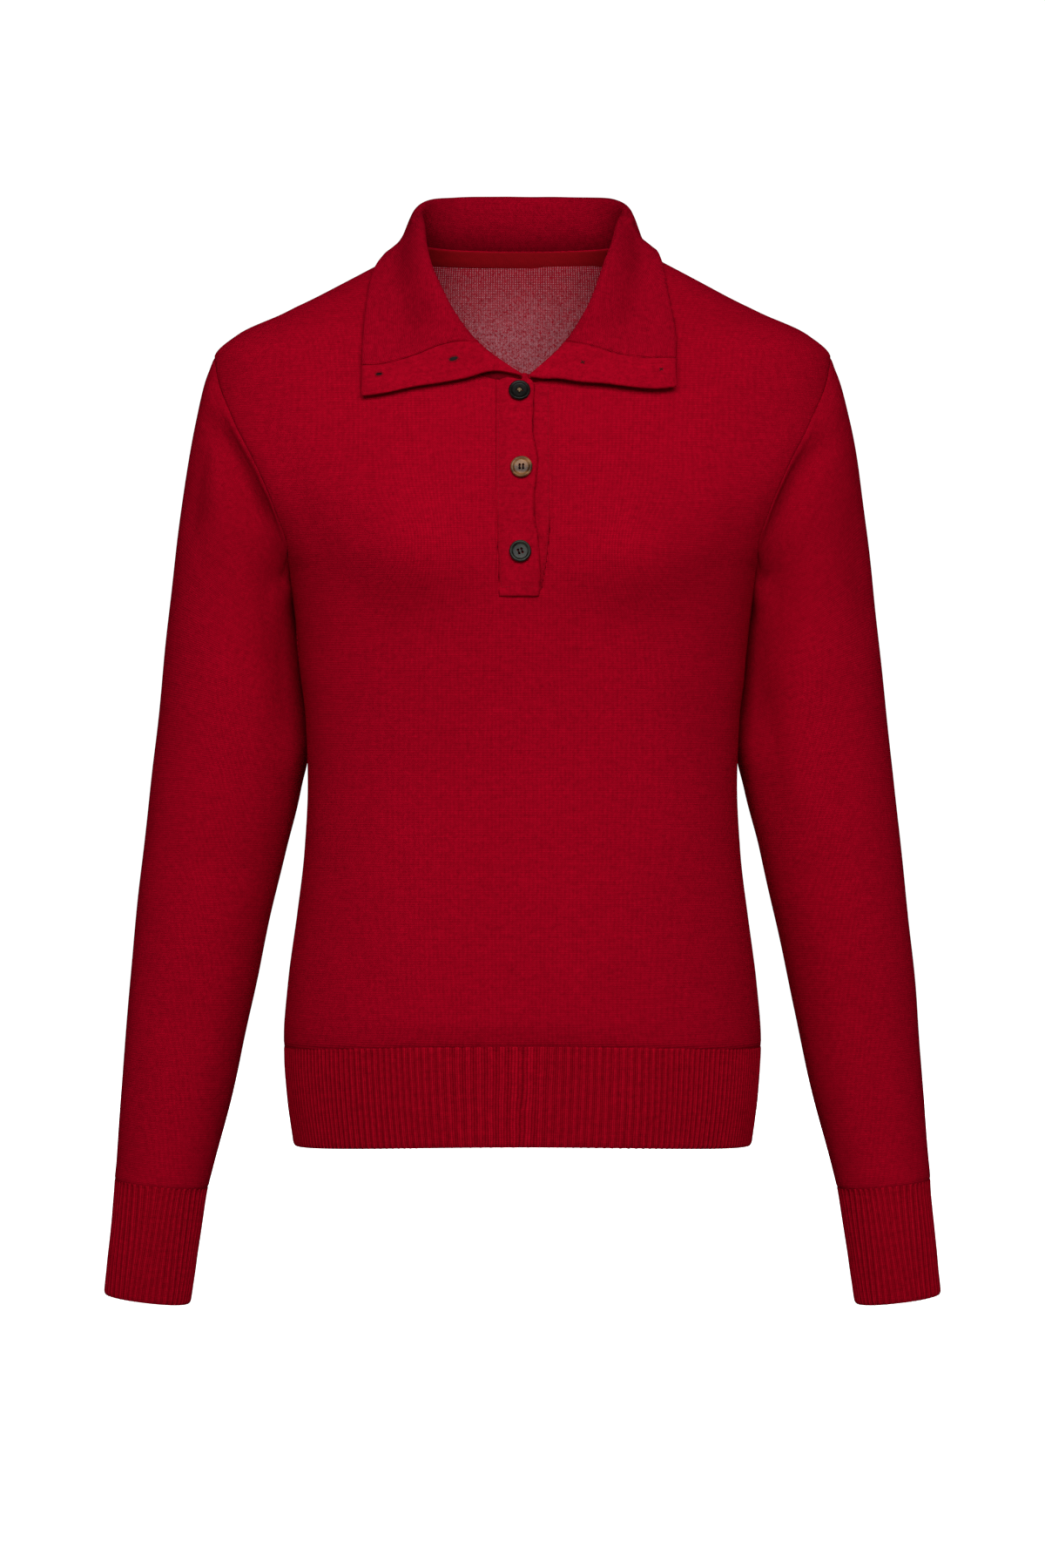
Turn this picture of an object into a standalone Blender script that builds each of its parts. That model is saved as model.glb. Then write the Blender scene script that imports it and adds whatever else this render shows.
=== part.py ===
"""Knitted pullover with an open polo collar, filled out as if worn and hollow inside.

Metres, +Z up. The front faces -Y, so the wearer's right is -X. The origin is midway between the two
ends of the shoulder seams at the neck, 15 mm below them, where the wearer's shoulders carry the garment.

Every cloth piece is read from the same few surfaces. The torso is one closed section at each height,
the sleeves are a row of sections from the armhole to the wrist, and the collar is a row of folded
sections round the neck. Tables below hold their sizes in millimetres.
"""

import math

import bmesh
import bpy
from mathutils import Matrix, Vector

MM = 0.001

# Cloth and seams
WALL = 1.8
COLLAR_WALL = 2.2
BAND_WALL = 2.0
TAPE_WALL = 1.0
SEAM_GAP = 0.3
REST_CLEARANCE = 1.2

# Levels of the body
HEM_HEIGHT = -577.0
RIB_TOP_HEIGHT = -512.0
HEM_FRONT_RISE = 5.0
UNDERARM_HEIGHT = -206.0
YOKE_START_HEIGHT = -150.0
SHOULDER_TIP_HEIGHT = -63.0
NECK_SIDE_HEIGHT = 15.0
NECK_HALF_WIDTH = 73.0
FRONT_NECK_DROP = 99.0
BACK_NECK_RISE = -0.8

# Chest fullness, a broad and shallow swell on each side of the placket
FULLNESS = 4.0
FULLNESS_OFFSET = 58.0
FULLNESS_HEIGHT = -178.0
FULLNESS_SPREAD = 43.0

# Grid counts
BODY_ROW_HEIGHTS = (-476, -436, -396, -356, -316, -280, -246, -225, UNDERARM_HEIGHT, -188, -169)
YOKE_ROWS = 7
YOKE_ROW_POWER = 1.6
SIDE_COLUMNS = 12
NECK_COLUMNS = 6

# One section of the torso at each height, bottom to top
TORSO_COLUMNS = ("height", "half_width", "ridge", "front", "back", "squareness")
TORSO = (
    (-577, 149.5, -6, 97, 103, 2.4),
    (-545, 153.6, -6, 100, 106, 2.4),
    (-512, 155.6, -6, 102, 107, 2.4),
    (-470, 152.6, -6, 101, 105, 2.4),
    (-427, 147.0, -6, 98, 101, 2.4),
    (-385, 142.3, -6, 95, 95, 2.4),
    (-342, 140.2, -6, 94, 91, 2.4),
    (-302, 141.4, -6, 96, 92, 2.4),
    (-268, 145.4, -5, 100, 95, 2.4),
    (-239, 150.5, -4, 104, 99, 2.4),
    (-206, 157.0, -2, 109, 101, 2.4),
    (-190, 165.0, 0, 110, 102, 2.4),
    (-165, 180.0, 3, 110, 101, 2.4),
    (-138, 196.0, 5, 105, 100, 2.4),
    (-110, 203.0, 5, 95, 99, 2.4),
    (-82, 203.5, 5, 84, 95, 2.4),
    (-63, 202.0, 5, 76, 91, 2.4),
    (-48, 187.0, 5, 69, 87, 2.4),
    (-34, 160.0, 5, 60, 83, 2.4),
    (-20, 131.0, 5, 51, 79, 2.45),
    (-7, 105.0, 5, 41, 74.5, 2.5),
    (2, 88.5, 5, 32, 71, 2.55),
    (9, 79.0, 5, 25, 68.5, 2.6),
    (15, 73.0, 5, 19, 67, 2.6),
    (22, 69.0, 5, 15, 66, 2.6),
)

# The armhole seam: how far out it lies at each height, on the front and on the back
ARMHOLE_COLUMNS = ("height", "front", "back")
ARMHOLE = (
    (-206, 157, 157),
    (-193, 159, 160),
    (-166, 166, 170),
    (-138, 177, 182),
    (-110, 188, 192),
    (-82, 198, 200),
    (-63, 202, 202),
)

# One section of the sleeve at each station, armhole to wrist: the ends of its long side, as seen from
# the front, half its depth and how far back its middle lies
SLEEVE_COLUMNS = ("station", "outer_x", "outer_z", "inner_x", "inner_z", "depth", "middle_y")
SLEEVE = (
    (0, 202.0, -63, 157.0, -206, 54.0, 5),
    (1, 208.5, -79, 157.4, -214, 54.5, 6),
    (2, 214.2, -103, 155.6, -223, 55.5, 8),
    (3, 220.3, -135, 152.8, -234, 56.5, 11),
    (4, 226.1, -175, 149.8, -248, 57.0, 14),
    (5, 231.6, -222, 146.2, -269, 56.5, 17),
    (6, 237.6, -280, 142.2, -303, 55.0, 19),
    (7, 244.0, -338, 146.4, -346, 53.0, 20),
    (8, 249.5, -385, 156.4, -387, 50.0, 19),
    (9, 253.9, -428, 166.5, -431, 47.0, 17),
    (10, 258.8, -484, 178.2, -488, 42.5, 14),
    (11, 263.1, -541, 190.6, -546, 38.0, 10),
    (12, 266.4, -588, 202.8, -593, 34.0, 6),
    (13, 267.3, -600, 206.0, -606, 33.0, 5),
    (14, 270.2, -636, 211.6, -642, 31.5, 3),
    (15, 274.0, -675, 217.2, -682, 30.5, 1),
)
SLEEVE_STATIONS = (0, 1, 2, 3, 4, 5, 6, 7, 8.5, 10, 11.5, 13)
SLEEVE_SQUARENESS = 2.15
ARMHOLE_FADE_STATIONS = 3.5
CREASE_TURN = 0.35
SLEEVE_EVEN_STATION = 5.0
CUFF_STATIONS = (13, 14, 15)
CUFF_START_STATION = 13

# Ribs: crests stand on the cloth's surface and valleys lie below it
RIB_DEPTH = 0.6
HEM_RIBS = 96
HEM_INNER_STEPS = 24
HEM_ROW_HEIGHTS = (HEM_HEIGHT, -545.0, RIB_TOP_HEIGHT)
CUFF_RIBS = 46
CUFF_INNER_STEPS = 23

# Placket: the front panel's opening and the two bands, right over left on the wearer
PLACKET_RIGHT_SEAM = -16.7
PLACKET_LEFT_SEAM = 17.8
PLACKET_BOTTOM_HEIGHT = -220.5
UNDER_BAND_EDGE = -6.0
BAND_SEAM_GAP = 0.5
OVER_BAND_RISE_WIDTH = 9.0
OVER_BAND_LIFT = 2.65
OVER_BAND_BOTTOM_HEIGHT = -223.5
OVER_BAND_TOP_DROP = 2.2
PLACKET_ROWS = 10
# How far the two band seams pull in towards the bottom of the placket
PLACKET_TAPER_COLUMNS = ("height", "right", "left")
PLACKET_TAPER = (
    (-226, 2.4, 6.6),
    (-212, 1.5, 4.2),
    (-196, 0.7, 1.5),
    (-180, 0.2, 0.3),
    (-150, 0.0, 0.0),
)
OVER_BAND_EDGE_COLUMNS = ("height", "x")
OVER_BAND_EDGE = (
    (-226, 10.4),
    (-217, 10.8),
    (-200, 10.4),
    (-188, 9.6),
    (-172, 7.1),
    (-160, 7.1),
    (-150, 8.3),
    (-138, 9.3),
    (-128, 7.7),
    (-118, 6.1),
    (-100, 6.7),
    (-84, 7.8),
)

# Neck tape inside the back neck
TAPE_DROP = 0.6
TAPE_GAP = 0.6
TAPE_BELOW_BEND = 2.2
TAPE_SIDE_COLUMNS = 5

# The collar in folded sections. It starts at the neckline (an angle from centre front, 90 at the
# shoulder seam, 180 at centre back), turns over at the roll and falls to its outer edge.
COLLAR_COLUMNS = ("angle", "roll_x", "roll_y", "roll_z", "edge_x", "edge_y", "edge_z", "roll", "lift")
RIGHT_FLAP = (
    (0.3, -0.5, -88.0, -81.6, -102.5, -82.6, -94.9, 3.0, 3.5),
    (20, -28.3, -82.0, -60.7, -102.3, -76.0, -74.1, 9.5, 2.5),
    (32, -44.0, -67.5, -40.0, -102.4, -69.7, -62.0, 8.5, 1.5),
    (44, -52.1, -53.0, -22.8, -101.7, -60.2, -47.1, 8.0, 0.5),
    (56, -58.5, -40.0, -6.8, -100.4, -48.0, -32.0, 9.0, 0.2),
    (69, -62.2, -25.0, 8.0, -97.6, -29.0, -14.0, 9.5, 0.0),
    (84, -64.3, -5.0, 24.5, -88.5, 2.0, 6.4, 9.5, 1.0),
)
COLLAR_BACK = (
    (105, -66.5, 22.0, 38.0, -84.5, 36.0, 4.5, 9.0, 0.6),
    (122, -59.5, 46.0, 46.5, -74.5, 58.0, 3.5, 8.5, 0.0),
    (140, -44.0, 62.5, 49.8, -51.0, 73.5, 4.0, 8.0, 0.0),
    (160, -23.0, 71.0, 51.3, -26.0, 81.0, 5.0, 8.0, 0.0),
    (180, 0.0, 74.0, 51.6, 0.0, 84.0, 5.0, 8.0, 0.0),
)
LEFT_FLAP = (
    (2.3, 4.0, -86.5, -82.4, 98.1, -84.5, -88.2, 2.0, 5.0),
    (20, 27.7, -81.0, -60.0, 97.3, -76.5, -70.3, 8.5, 5.0),
    (32, 39.8, -66.0, -40.0, 98.1, -68.5, -57.9, 7.0, 3.0),
    (44, 46.8, -53.0, -22.8, 96.7, -58.5, -43.0, 8.0, 1.0),
    (56, 52.0, -40.0, -6.8, 94.3, -46.0, -27.6, 9.0, 0.3),
    (69, 57.0, -25.0, 8.0, 91.5, -29.0, -12.5, 9.5, 0.0),
    (84, 61.0, -5.0, 24.5, 86.8, 2.0, 6.4, 9.5, 1.0),
)
# How far the flaps' front edges and band seams rise above a straight line, along each of them
FLAP_WAVE_COLUMNS = ("along", "right_edge", "right_seam", "left_edge", "left_seam")
FLAP_WAVE = (
    (0.0, 0.0, 0.0, 0.0, 0.0),
    (0.2, 6.0, 3.2, -0.3, -0.4),
    (0.35, 4.0, 2.8, -2.2, -1.5),
    (0.5, 2.4, 0.5, -2.2, -3.0),
    (0.7, 1.5, -1.2, -3.6, -3.3),
    (0.85, -0.5, -1.8, -3.6, -1.8),
    (1.0, 0.0, 0.0, 0.0, 0.0),
)
WAVE_FADE_STATION = 3.0
BAND_STATION = 1.0
COLLAR_STEPS_PER_SIDE = 15
BAND_STEPS = 2
STAND_FRACTIONS = (0.0, 0.55, 1.0)
FALL_FRACTIONS = (0.1, 0.22, 0.38, 0.58, 0.8, 1.0)
FALL_PULL = 0.35
FALL_SAG = 2.0
ROLL_RISE = 0.25
STAND_BEND = 0.5
STAND_GAP = 0.7

# Buttons: turned discs with a raised rim, a dished middle and four holes
BUTTON_RADIUS = 7.0
BUTTON_THICKNESS = 3.0
BUTTON_RIM_WIDTH = 1.6
BUTTON_DISH_DEPTH = 0.8
BUTTON_HOLE_RADIUS = 0.85
BUTTON_HOLE_OFFSET = 1.6
BUTTON_SIDES = 22
BUTTON_GAP = 0.5
# Front buttons: place on the band and how far each is tipped and turned, in degrees
FRONT_BUTTON_COLUMNS = ("name", "x", "height", "tip_up", "tip_right", "turn", "material")
FRONT_BUTTONS = (
    ("button_top", -1.9, -93.6, 0, 0, 40, "button_dark"),
    ("button_middle", -0.8, -143.4, 5, -6, 0, "button_horn"),
    ("button_bottom", -1.6, -195.7, 0, 0, 20, "button_dark"),
)
# Collar buttons, sewn under the wearer's left flap: station across and fraction along the fall
COLLAR_BUTTONS = (("button_collar_inner", 0.48, 0.44), ("button_collar_outer", 0.5, 0.88))

MATERIALS = {
    # name: (colour, roughness)
    "knit": ((0.30, 0.004, 0.014), 0.85),
    "rib": ((0.22, 0.003, 0.010), 0.88),
    "band": ((0.31, 0.004, 0.015), 0.85),
    "tape": ((0.16, 0.002, 0.004), 0.8),
    "button_dark": ((0.015, 0.013, 0.012), 0.3),
    "button_horn": ((0.16, 0.09, 0.03), 0.3),
}


# Reading the tables


def slope(before, here, after):
    """Tangent at a table row that never overshoots its neighbours; each argument is (at, value)."""
    first = (here[1] - before[1]) / (here[0] - before[0])
    second = (after[1] - here[1]) / (after[0] - here[0])
    if first * second <= 0:
        return 0.0
    return 2 * first * second / (first + second)


def hermite(start, end, start_slope, end_slope, at):
    width = end[0] - start[0]
    t = (at - start[0]) / width
    return (
        (2 * t**3 - 3 * t**2 + 1) * start[1]
        + (t**3 - 2 * t**2 + t) * width * start_slope
        + (3 * t**2 - 2 * t**3) * end[1]
        + (t**3 - t**2) * width * end_slope
    )


def read(table, columns, name, at):
    """Value of the named column where the table's first column is `at`, on a smooth curve."""
    column = columns.index(name)
    points = [(row[0], row[column]) for row in table]
    at = min(max(at, points[0][0]), points[-1][0])
    i = max(k for k in range(len(points) - 1) if points[k][0] <= at)
    chord = (points[i + 1][1] - points[i][1]) / (points[i + 1][0] - points[i][0])
    start_slope = slope(points[i - 1], points[i], points[i + 1]) if i > 0 else chord
    last = i + 2 >= len(points)
    end_slope = chord if last else slope(points[i], points[i + 1], points[i + 2])
    return hermite(points[i], points[i + 1], start_slope, end_slope, at)


def read_even(rows, column, at):
    """Value of a column at a fractional row number, on a Catmull-Rom curve through all rows."""
    i = min(int(at), len(rows) - 2)
    t = at - i
    p1 = rows[i][column]
    p2 = rows[i + 1][column]
    p0 = rows[i - 1][column] if i > 0 else 2 * p1 - p2
    p3 = rows[i + 2][column] if i + 2 < len(rows) else 2 * p2 - p1
    return 0.5 * (
        2 * p1 + (p2 - p0) * t + (2 * p0 - 5 * p1 + 4 * p2 - p3) * t**2 + (3 * p1 - p0 - 3 * p2 + p3) * t**3
    )


def lerp(a, b, t):
    return a + (b - a) * t


# The torso's surface


def torso(name, height):
    return read(TORSO, TORSO_COLUMNS, name, height)


def torso_depth(x, height, facing):
    """Depth of the torso's front (facing -1) or back (+1) from its ridge line, with the chest's swell."""
    if facing > 0:
        return torso("back", height)
    across = (abs(x) - FULLNESS_OFFSET) / FULLNESS_SPREAD
    upward = (height - FULLNESS_HEIGHT) / FULLNESS_SPREAD
    return torso("front", height) + FULLNESS * math.exp(-(across**2) - upward**2)


def torso_y(x, height, facing):
    power = torso("squareness", height)
    ratio = min(abs(x) / torso("half_width", height), 1.0)
    return torso("ridge", height) + facing * torso_depth(x, height, facing) * (1 - ratio**power) ** (1 / power)


def torso_field(point):
    """1 on the torso's surface, less inside and more outside."""
    x, y, z = point
    from_ridge = y - torso("ridge", z)
    facing = -1 if from_ridge < 0 else 1
    power = torso("squareness", z)
    across = abs(x) / torso("half_width", z)
    deep = abs(from_ridge) / torso_depth(x, z, facing)
    return (across**power + deep**power) ** (1 / power)


def torso_gradient(point):
    step = 0.5
    steps = (Vector((step, 0, 0)), Vector((0, step, 0)), Vector((0, 0, step)))
    return Vector([(torso_field(point + s) - torso_field(point - s)) / (2 * step) for s in steps])


def torso_normal(point):
    return torso_gradient(point).normalized()


def torso_distance(point):
    return (torso_field(point) - 1) / torso_gradient(point).length


def pushed_out(point, clearance):
    """The point, moved straight out until it clears the torso."""
    for _ in range(4):
        short = clearance - torso_distance(point)
        if short > 0:
            point = point + torso_normal(point) * short
    return point


def on_torso(x, height, facing, offset=0.0):
    point = Vector((x, torso_y(x, height, facing), height))
    return point + torso_normal(point) * offset if offset else point


# Front and back panels


def panel_edge_x(height, facing):
    """Where a panel ends sideways: the side seam, or the armhole above the underarm."""
    if height <= UNDERARM_HEIGHT:
        return torso("half_width", height)
    return read(ARMHOLE, ARMHOLE_COLUMNS, "front" if facing < 0 else "back", height)


def neckline_curve(angle):
    """Point of the neckline: 0 at centre front, 90 at the shoulder seam, 180 at centre back."""
    turn = math.radians(angle)
    if angle <= 90:
        x = NECK_HALF_WIDTH * math.sin(turn)
        height = NECK_SIDE_HEIGHT - FRONT_NECK_DROP * math.cos(turn)
        return on_torso(x, height, -1)
    x = NECK_HALF_WIDTH * abs(math.sin(turn)) ** (2 / torso("squareness", NECK_SIDE_HEIGHT))
    height = NECK_SIDE_HEIGHT + BACK_NECK_RISE * (1 - (x / NECK_HALF_WIDTH) ** 2)
    return on_torso(x, height, 1)


def neckline_angle(column, inner_x, facing):
    """Where on the neckline a panel's column ends."""
    inner_angle = math.degrees(math.asin(inner_x / NECK_HALF_WIDTH)) if facing < 0 else 0.0
    angle = lerp(inner_angle, 90, column / NECK_COLUMNS)
    return angle if facing < 0 else 180 - angle


def neckline(angle, side):
    """Point of a panel's neck edge, which runs straight between its columns' ends."""
    facing = -1 if angle <= 90 else 1
    inner_x = 0.0 if facing > 0 else (PLACKET_LEFT_SEAM if side > 0 else -PLACKET_RIGHT_SEAM)
    stops = sorted({neckline_angle(c, inner_x, facing) for c in range(NECK_COLUMNS + 1)} | {0.0})
    before = max([stop for stop in stops if stop <= angle], default=stops[0])
    after = min([stop for stop in stops if stop > before], default=before)
    share = (angle - before) / (after - before) if after > before else 0.0
    point = neckline_curve(before).lerp(neckline_curve(after), share)
    return Vector((point.x * side, point.y, point.z))


def top_corner(column, inner_x, facing):
    """(x, height) where a column of a panel ends: on the neckline, then along the shoulder seam."""
    if column > NECK_COLUMNS:
        share = (column - NECK_COLUMNS) / (SIDE_COLUMNS - NECK_COLUMNS)
        height = lerp(NECK_SIDE_HEIGHT, SHOULDER_TIP_HEIGHT, share)
        return torso("half_width", height), height
    point = neckline_curve(neckline_angle(column, inner_x, facing))
    return point.x, point.z


def placket_seam_x(height, side):
    """Where the placket's band is sewn to the panel on one side, to the wearer's left when side is 1."""
    if side < 0:
        return PLACKET_RIGHT_SEAM + read(PLACKET_TAPER, PLACKET_TAPER_COLUMNS, "right", height)
    return PLACKET_LEFT_SEAM - read(PLACKET_TAPER, PLACKET_TAPER_COLUMNS, "left", height)


def body_column_x(column, height, inner_x, facing, side=0):
    """How far out a column lies at a height below the yoke, closer together towards the side."""
    if column == 0:
        return abs(placket_seam_x(height, side)) if side and facing < 0 else inner_x
    power = torso("squareness", height)
    half_width = torso("half_width", height)
    edge_turn = math.asin(min((panel_edge_x(height, facing) / half_width) ** (power / 2), 1.0))
    return half_width * math.sin(edge_turn * column / SIDE_COLUMNS) ** (2 / power)


def yoke_point(column, share, inner_x, facing):
    """(x, height) of a column between the chest and its top end."""
    top_x, top_height = top_corner(column, inner_x, facing)
    tip_x = torso("half_width", SHOULDER_TIP_HEIGHT)
    edge_height = lerp(YOKE_START_HEIGHT, SHOULDER_TIP_HEIGHT, share)
    edge_start = panel_edge_x(YOKE_START_HEIGHT, facing)
    start = (body_column_x(column, YOKE_START_HEIGHT, inner_x, facing) - inner_x) / (edge_start - inner_x)
    end = (top_x - inner_x) / (tip_x - inner_x)
    x = inner_x + (panel_edge_x(edge_height, facing) - inner_x) * lerp(start, end, share)
    return x, lerp(YOKE_START_HEIGHT, top_height, share)


def hem_rise(x, height, facing):
    """The front hem and everything near it ride up a little over the chest and belly."""
    if facing > 0 or height > -380:
        return 0.0
    fade = min((-380 - height) / 120, 1.0)
    return HEM_FRONT_RISE * fade * max(0.0, 1 - (abs(x) / torso("half_width", height)) ** 2)


def panel_heights(facing):
    rows = [("body", height) for height in (RIB_TOP_HEIGHT + SEAM_GAP,) + BODY_ROW_HEIGHTS]
    for row in range(YOKE_ROWS + 1):
        rows.append(("yoke", 1 - (1 - row / YOKE_ROWS) ** YOKE_ROW_POWER))
    return rows


def panel_point(column, row, inner_x, facing, side):
    kind, at = row
    if kind == "body":
        x, height = body_column_x(column, at, inner_x, facing, side), at
        seam = column == SIDE_COLUMNS and at <= UNDERARM_HEIGHT
    else:
        x, height = yoke_point(column, at, inner_x, facing)
        seam = column >= NECK_COLUMNS and at == 1
    point = on_torso(x * side, height, facing)
    if seam:
        point.y = torso("ridge", height) + facing * SEAM_GAP / 2
    rise = hem_rise(x, height, facing)
    if column == SIDE_COLUMNS and kind == "yoke" or at == UNDERARM_HEIGHT and column == SIDE_COLUMNS:
        rise = 0.0
    return point + Vector((0, 0, rise))


def armhole_ring(side):
    """Points of the armhole's seam: shoulder tip, down the front, underarm, up the back."""
    heights = [h for h in BODY_ROW_HEIGHTS if h > UNDERARM_HEIGHT]
    for row in range(YOKE_ROWS):
        share = 1 - (1 - row / YOKE_ROWS) ** YOKE_ROW_POWER
        heights.append(lerp(YOKE_START_HEIGHT, SHOULDER_TIP_HEIGHT, share))
    front = [on_torso(side * panel_edge_x(h, -1), h, -1) for h in heights]
    back = [on_torso(side * panel_edge_x(h, 1), h, 1) for h in heights]
    tip = Vector((side * torso("half_width", SHOULDER_TIP_HEIGHT), torso("ridge", SHOULDER_TIP_HEIGHT),
                  SHOULDER_TIP_HEIGHT))
    under = Vector((side * torso("half_width", UNDERARM_HEIGHT), torso("ridge", UNDERARM_HEIGHT), UNDERARM_HEIGHT))
    return [tip] + front[::-1] + [under] + back


# Sleeves


def sleeve(name, station):
    return read(SLEEVE, SLEEVE_COLUMNS, name, station)


def sleeve_section(station, angle, side, outward=0.0):
    """Point of the sleeve's section: angle 0 on the outside, 90 in front, 180 against the body."""
    outer = Vector((sleeve("outer_x", station), sleeve("middle_y", station), sleeve("outer_z", station)))
    inner = Vector((sleeve("inner_x", station), sleeve("middle_y", station), sleeve("inner_z", station)))
    middle = (outer + inner) / 2
    across = outer - middle
    power = 2 / SLEEVE_SQUARENESS
    cosine = math.cos(math.radians(angle))
    sine = math.sin(math.radians(angle))
    along = math.copysign(abs(cosine) ** power, cosine)
    deep = -math.copysign(abs(sine) ** power, sine)
    point = middle + across * along + Vector((0, sleeve("depth", station) * deep, 0))
    point += (point - middle).normalized() * outward
    return Vector((side * point.x, point.y, point.z))


def ring_shares(ring):
    """Share of the way round at each point of a closed ring."""
    lengths = [(ring[(i + 1) % len(ring)] - ring[i]).length for i in range(len(ring))]
    total = sum(lengths)
    shares = [0.0]
    for length in lengths[:-1]:
        shares.append(shares[-1] + length / total)
    return shares


def fold_share(point, after, normal):
    """0 where the sleeve carries on round the shoulder, 1 where it turns outward and makes a crease."""
    turned = (after - point).normalized().dot(normal)
    return min(max(turned / CREASE_TURN, 0.0), 1.0)


def armhole_shifts(seam, after, side):
    """Directions that part the sleeve's first ring from the panels' edge."""
    shifts = []
    for j, point in enumerate(seam):
        normal = torso_normal(point)
        away = normal.cross(seam[(j + 1) % len(seam)] - seam[j - 1]).normalized() * side
        shifts.append((away + normal * fold_share(point, after[j], normal)).normalized())
    return shifts


def sleeve_grid(side):
    """Outer points of a sleeve: its armhole end follows the armhole and fades into the plain sections."""
    seam = armhole_ring(side)
    count = len(seam)
    shares = ring_shares(seam)
    rows = []
    for station in SLEEVE_STATIONS:
        even = min(station / SLEEVE_EVEN_STATION, 1.0)
        fade = max(0.0, 1 - station / ARMHOLE_FADE_STATIONS) ** 2
        row = []
        for j in range(count):
            angle = 360 * lerp(shares[j], j / count, even)
            row.append(sleeve_section(station, angle, side) + fade * (seam[j] - sleeve_section(0, 360 * shares[j], side)))
        rows.append(row)
    rows[0] = [point + shift * SEAM_GAP for point, shift in zip(rows[0], armhole_shifts(seam, rows[1], side))]
    rows[-1] = [last + (before - last).normalized() * SEAM_GAP for last, before in zip(rows[-1], rows[-2])]
    return rows


def sleeve_normals(rows, seam):
    """Normals of a sleeve's grid, away from each row's middle, and the torso's own where it joins smoothly."""
    normals = []
    for i, row in enumerate(rows):
        middle = sum(row, Vector()) / len(row)
        line = []
        for j in range(len(row)):
            along = rows[min(i + 1, len(rows) - 1)][j] - rows[max(i - 1, 0)][j]
            around = row[(j + 1) % len(row)] - row[j - 1]
            normal = along.cross(around).normalized()
            if normal.dot(row[j] - middle) < 0:
                normal = -normal
            line.append(normal)
        normals.append(line)
    for j, point in enumerate(seam):
        smooth = torso_normal(point)
        share = fold_share(point, rows[1][j], smooth)
        normals[0][j] = smooth.lerp(normals[1][j], share).normalized()
    return normals


# Collar


def collar_rows():
    """All the collar's sections, from the wearer's right front edge round the back to the left one."""
    back_left = tuple((row[0], -row[1], *row[2:4], -row[4], *row[5:]) for row in COLLAR_BACK[-2::-1])
    return RIGHT_FLAP + COLLAR_BACK + back_left + LEFT_FLAP[::-1]


def flap_wave(station, along):
    """Rise of the front edge and band seam of the flap nearest to a station."""
    last = len(collar_rows()) - 1
    side = "right" if station < last / 2 else "left"
    from_edge = min(station, last - station)
    edge = read(FLAP_WAVE, FLAP_WAVE_COLUMNS, side + "_edge", along)
    seam = read(FLAP_WAVE, FLAP_WAVE_COLUMNS, side + "_seam", along)
    if from_edge <= BAND_STATION:
        return lerp(edge, seam, from_edge / BAND_STATION)
    return seam * max(0.0, 1 - (from_edge - BAND_STATION) / (WAVE_FADE_STATION - BAND_STATION))


def collar_value(name, station):
    return read_even(collar_rows(), COLLAR_COLUMNS.index(name), station)


def roll_point(station):
    return Vector([collar_value(name, station) for name in ("roll_x", "roll_y", "roll_z")])


def collar_section(station):
    """Corners of the folded section: its seam, the stand's pull, the roll, the fall's two pulls and its edge."""
    last = len(collar_rows()) - 1
    side = -1 if station < last / 2 else 1
    seam = neckline(collar_value("angle", station), side)
    roll = roll_point(station)
    edge = Vector([collar_value(name, station) for name in ("edge_x", "edge_y", "edge_z")])
    rise = (roll - seam).normalized()
    along = roll_point(min(station + 0.2, last)) - roll_point(max(station - 0.2, 0))
    outward = rise.cross(along).normalized()
    width = collar_value("roll", station)
    stand_pull = roll - outward * width * STAND_BEND
    turn = roll + outward * width + rise * width * ROLL_RISE
    pull = edge + (roll - edge) * FALL_PULL - torso_normal(edge) * FALL_SAG
    return seam + rise * STAND_GAP, stand_pull, roll, turn, pull, edge


def stand_point(station, share):
    seam, pull, roll, *_ = collar_section(station)
    return seam * (1 - share) ** 2 + pull * 2 * (1 - share) * share + roll * share**2


def fall_point(station, share):
    *_, roll, turn, pull, edge = collar_section(station)
    t = share
    point = roll * (1 - t) ** 3 + turn * 3 * (1 - t) ** 2 * t + pull * 3 * (1 - t) * t**2 + edge * t**3
    along = (point - roll).length / (edge - roll).length
    point.z += flap_wave(station, min(along, 1.0))
    lift = max(collar_value("lift", station), 0.0)
    return pushed_out(point, COLLAR_WALL + REST_CLEARANCE + lift) if share > 0.3 else point


def collar_line(station):
    """Points of the collar's visible face from the neck seam over the roll to the outer edge."""
    stand = [stand_point(station, share) for share in STAND_FRACTIONS]
    return stand + [fall_point(station, share) for share in FALL_FRACTIONS]


# Placket bands


def band_offset(x, height):
    """How far the over band lies off the panel's surface: flush at its seam, then over the under band."""
    share = (x - placket_seam_x(height, -1)) / OVER_BAND_RISE_WIDTH
    share = min(max(share, 0.0), 1.0)
    smooth_share = share * share * (3 - 2 * share)
    return lerp(SEAM_GAP, OVER_BAND_LIFT, smooth_share)


def over_band_point(across, height):
    """Outer point of the over band, `across` from 0 at its seam to 1 at its free edge."""
    edge = read(OVER_BAND_EDGE, OVER_BAND_EDGE_COLUMNS, "x", height)
    x = lerp(placket_seam_x(height, -1) + BAND_SEAM_GAP, edge, across)
    return on_torso(x, height, -1, band_offset(x, height))


# Building solids


def material(name):
    found = bpy.data.materials.get(name)
    if found:
        return found
    colour, roughness = MATERIALS[name]
    made = bpy.data.materials.new(name)
    made.use_nodes = True
    shader = made.node_tree.nodes["Principled BSDF"]
    shader.inputs["Base Color"].default_value = (*colour, 1)
    shader.inputs["Roughness"].default_value = roughness
    made.diffuse_color = (*colour, 1)
    return made


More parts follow.
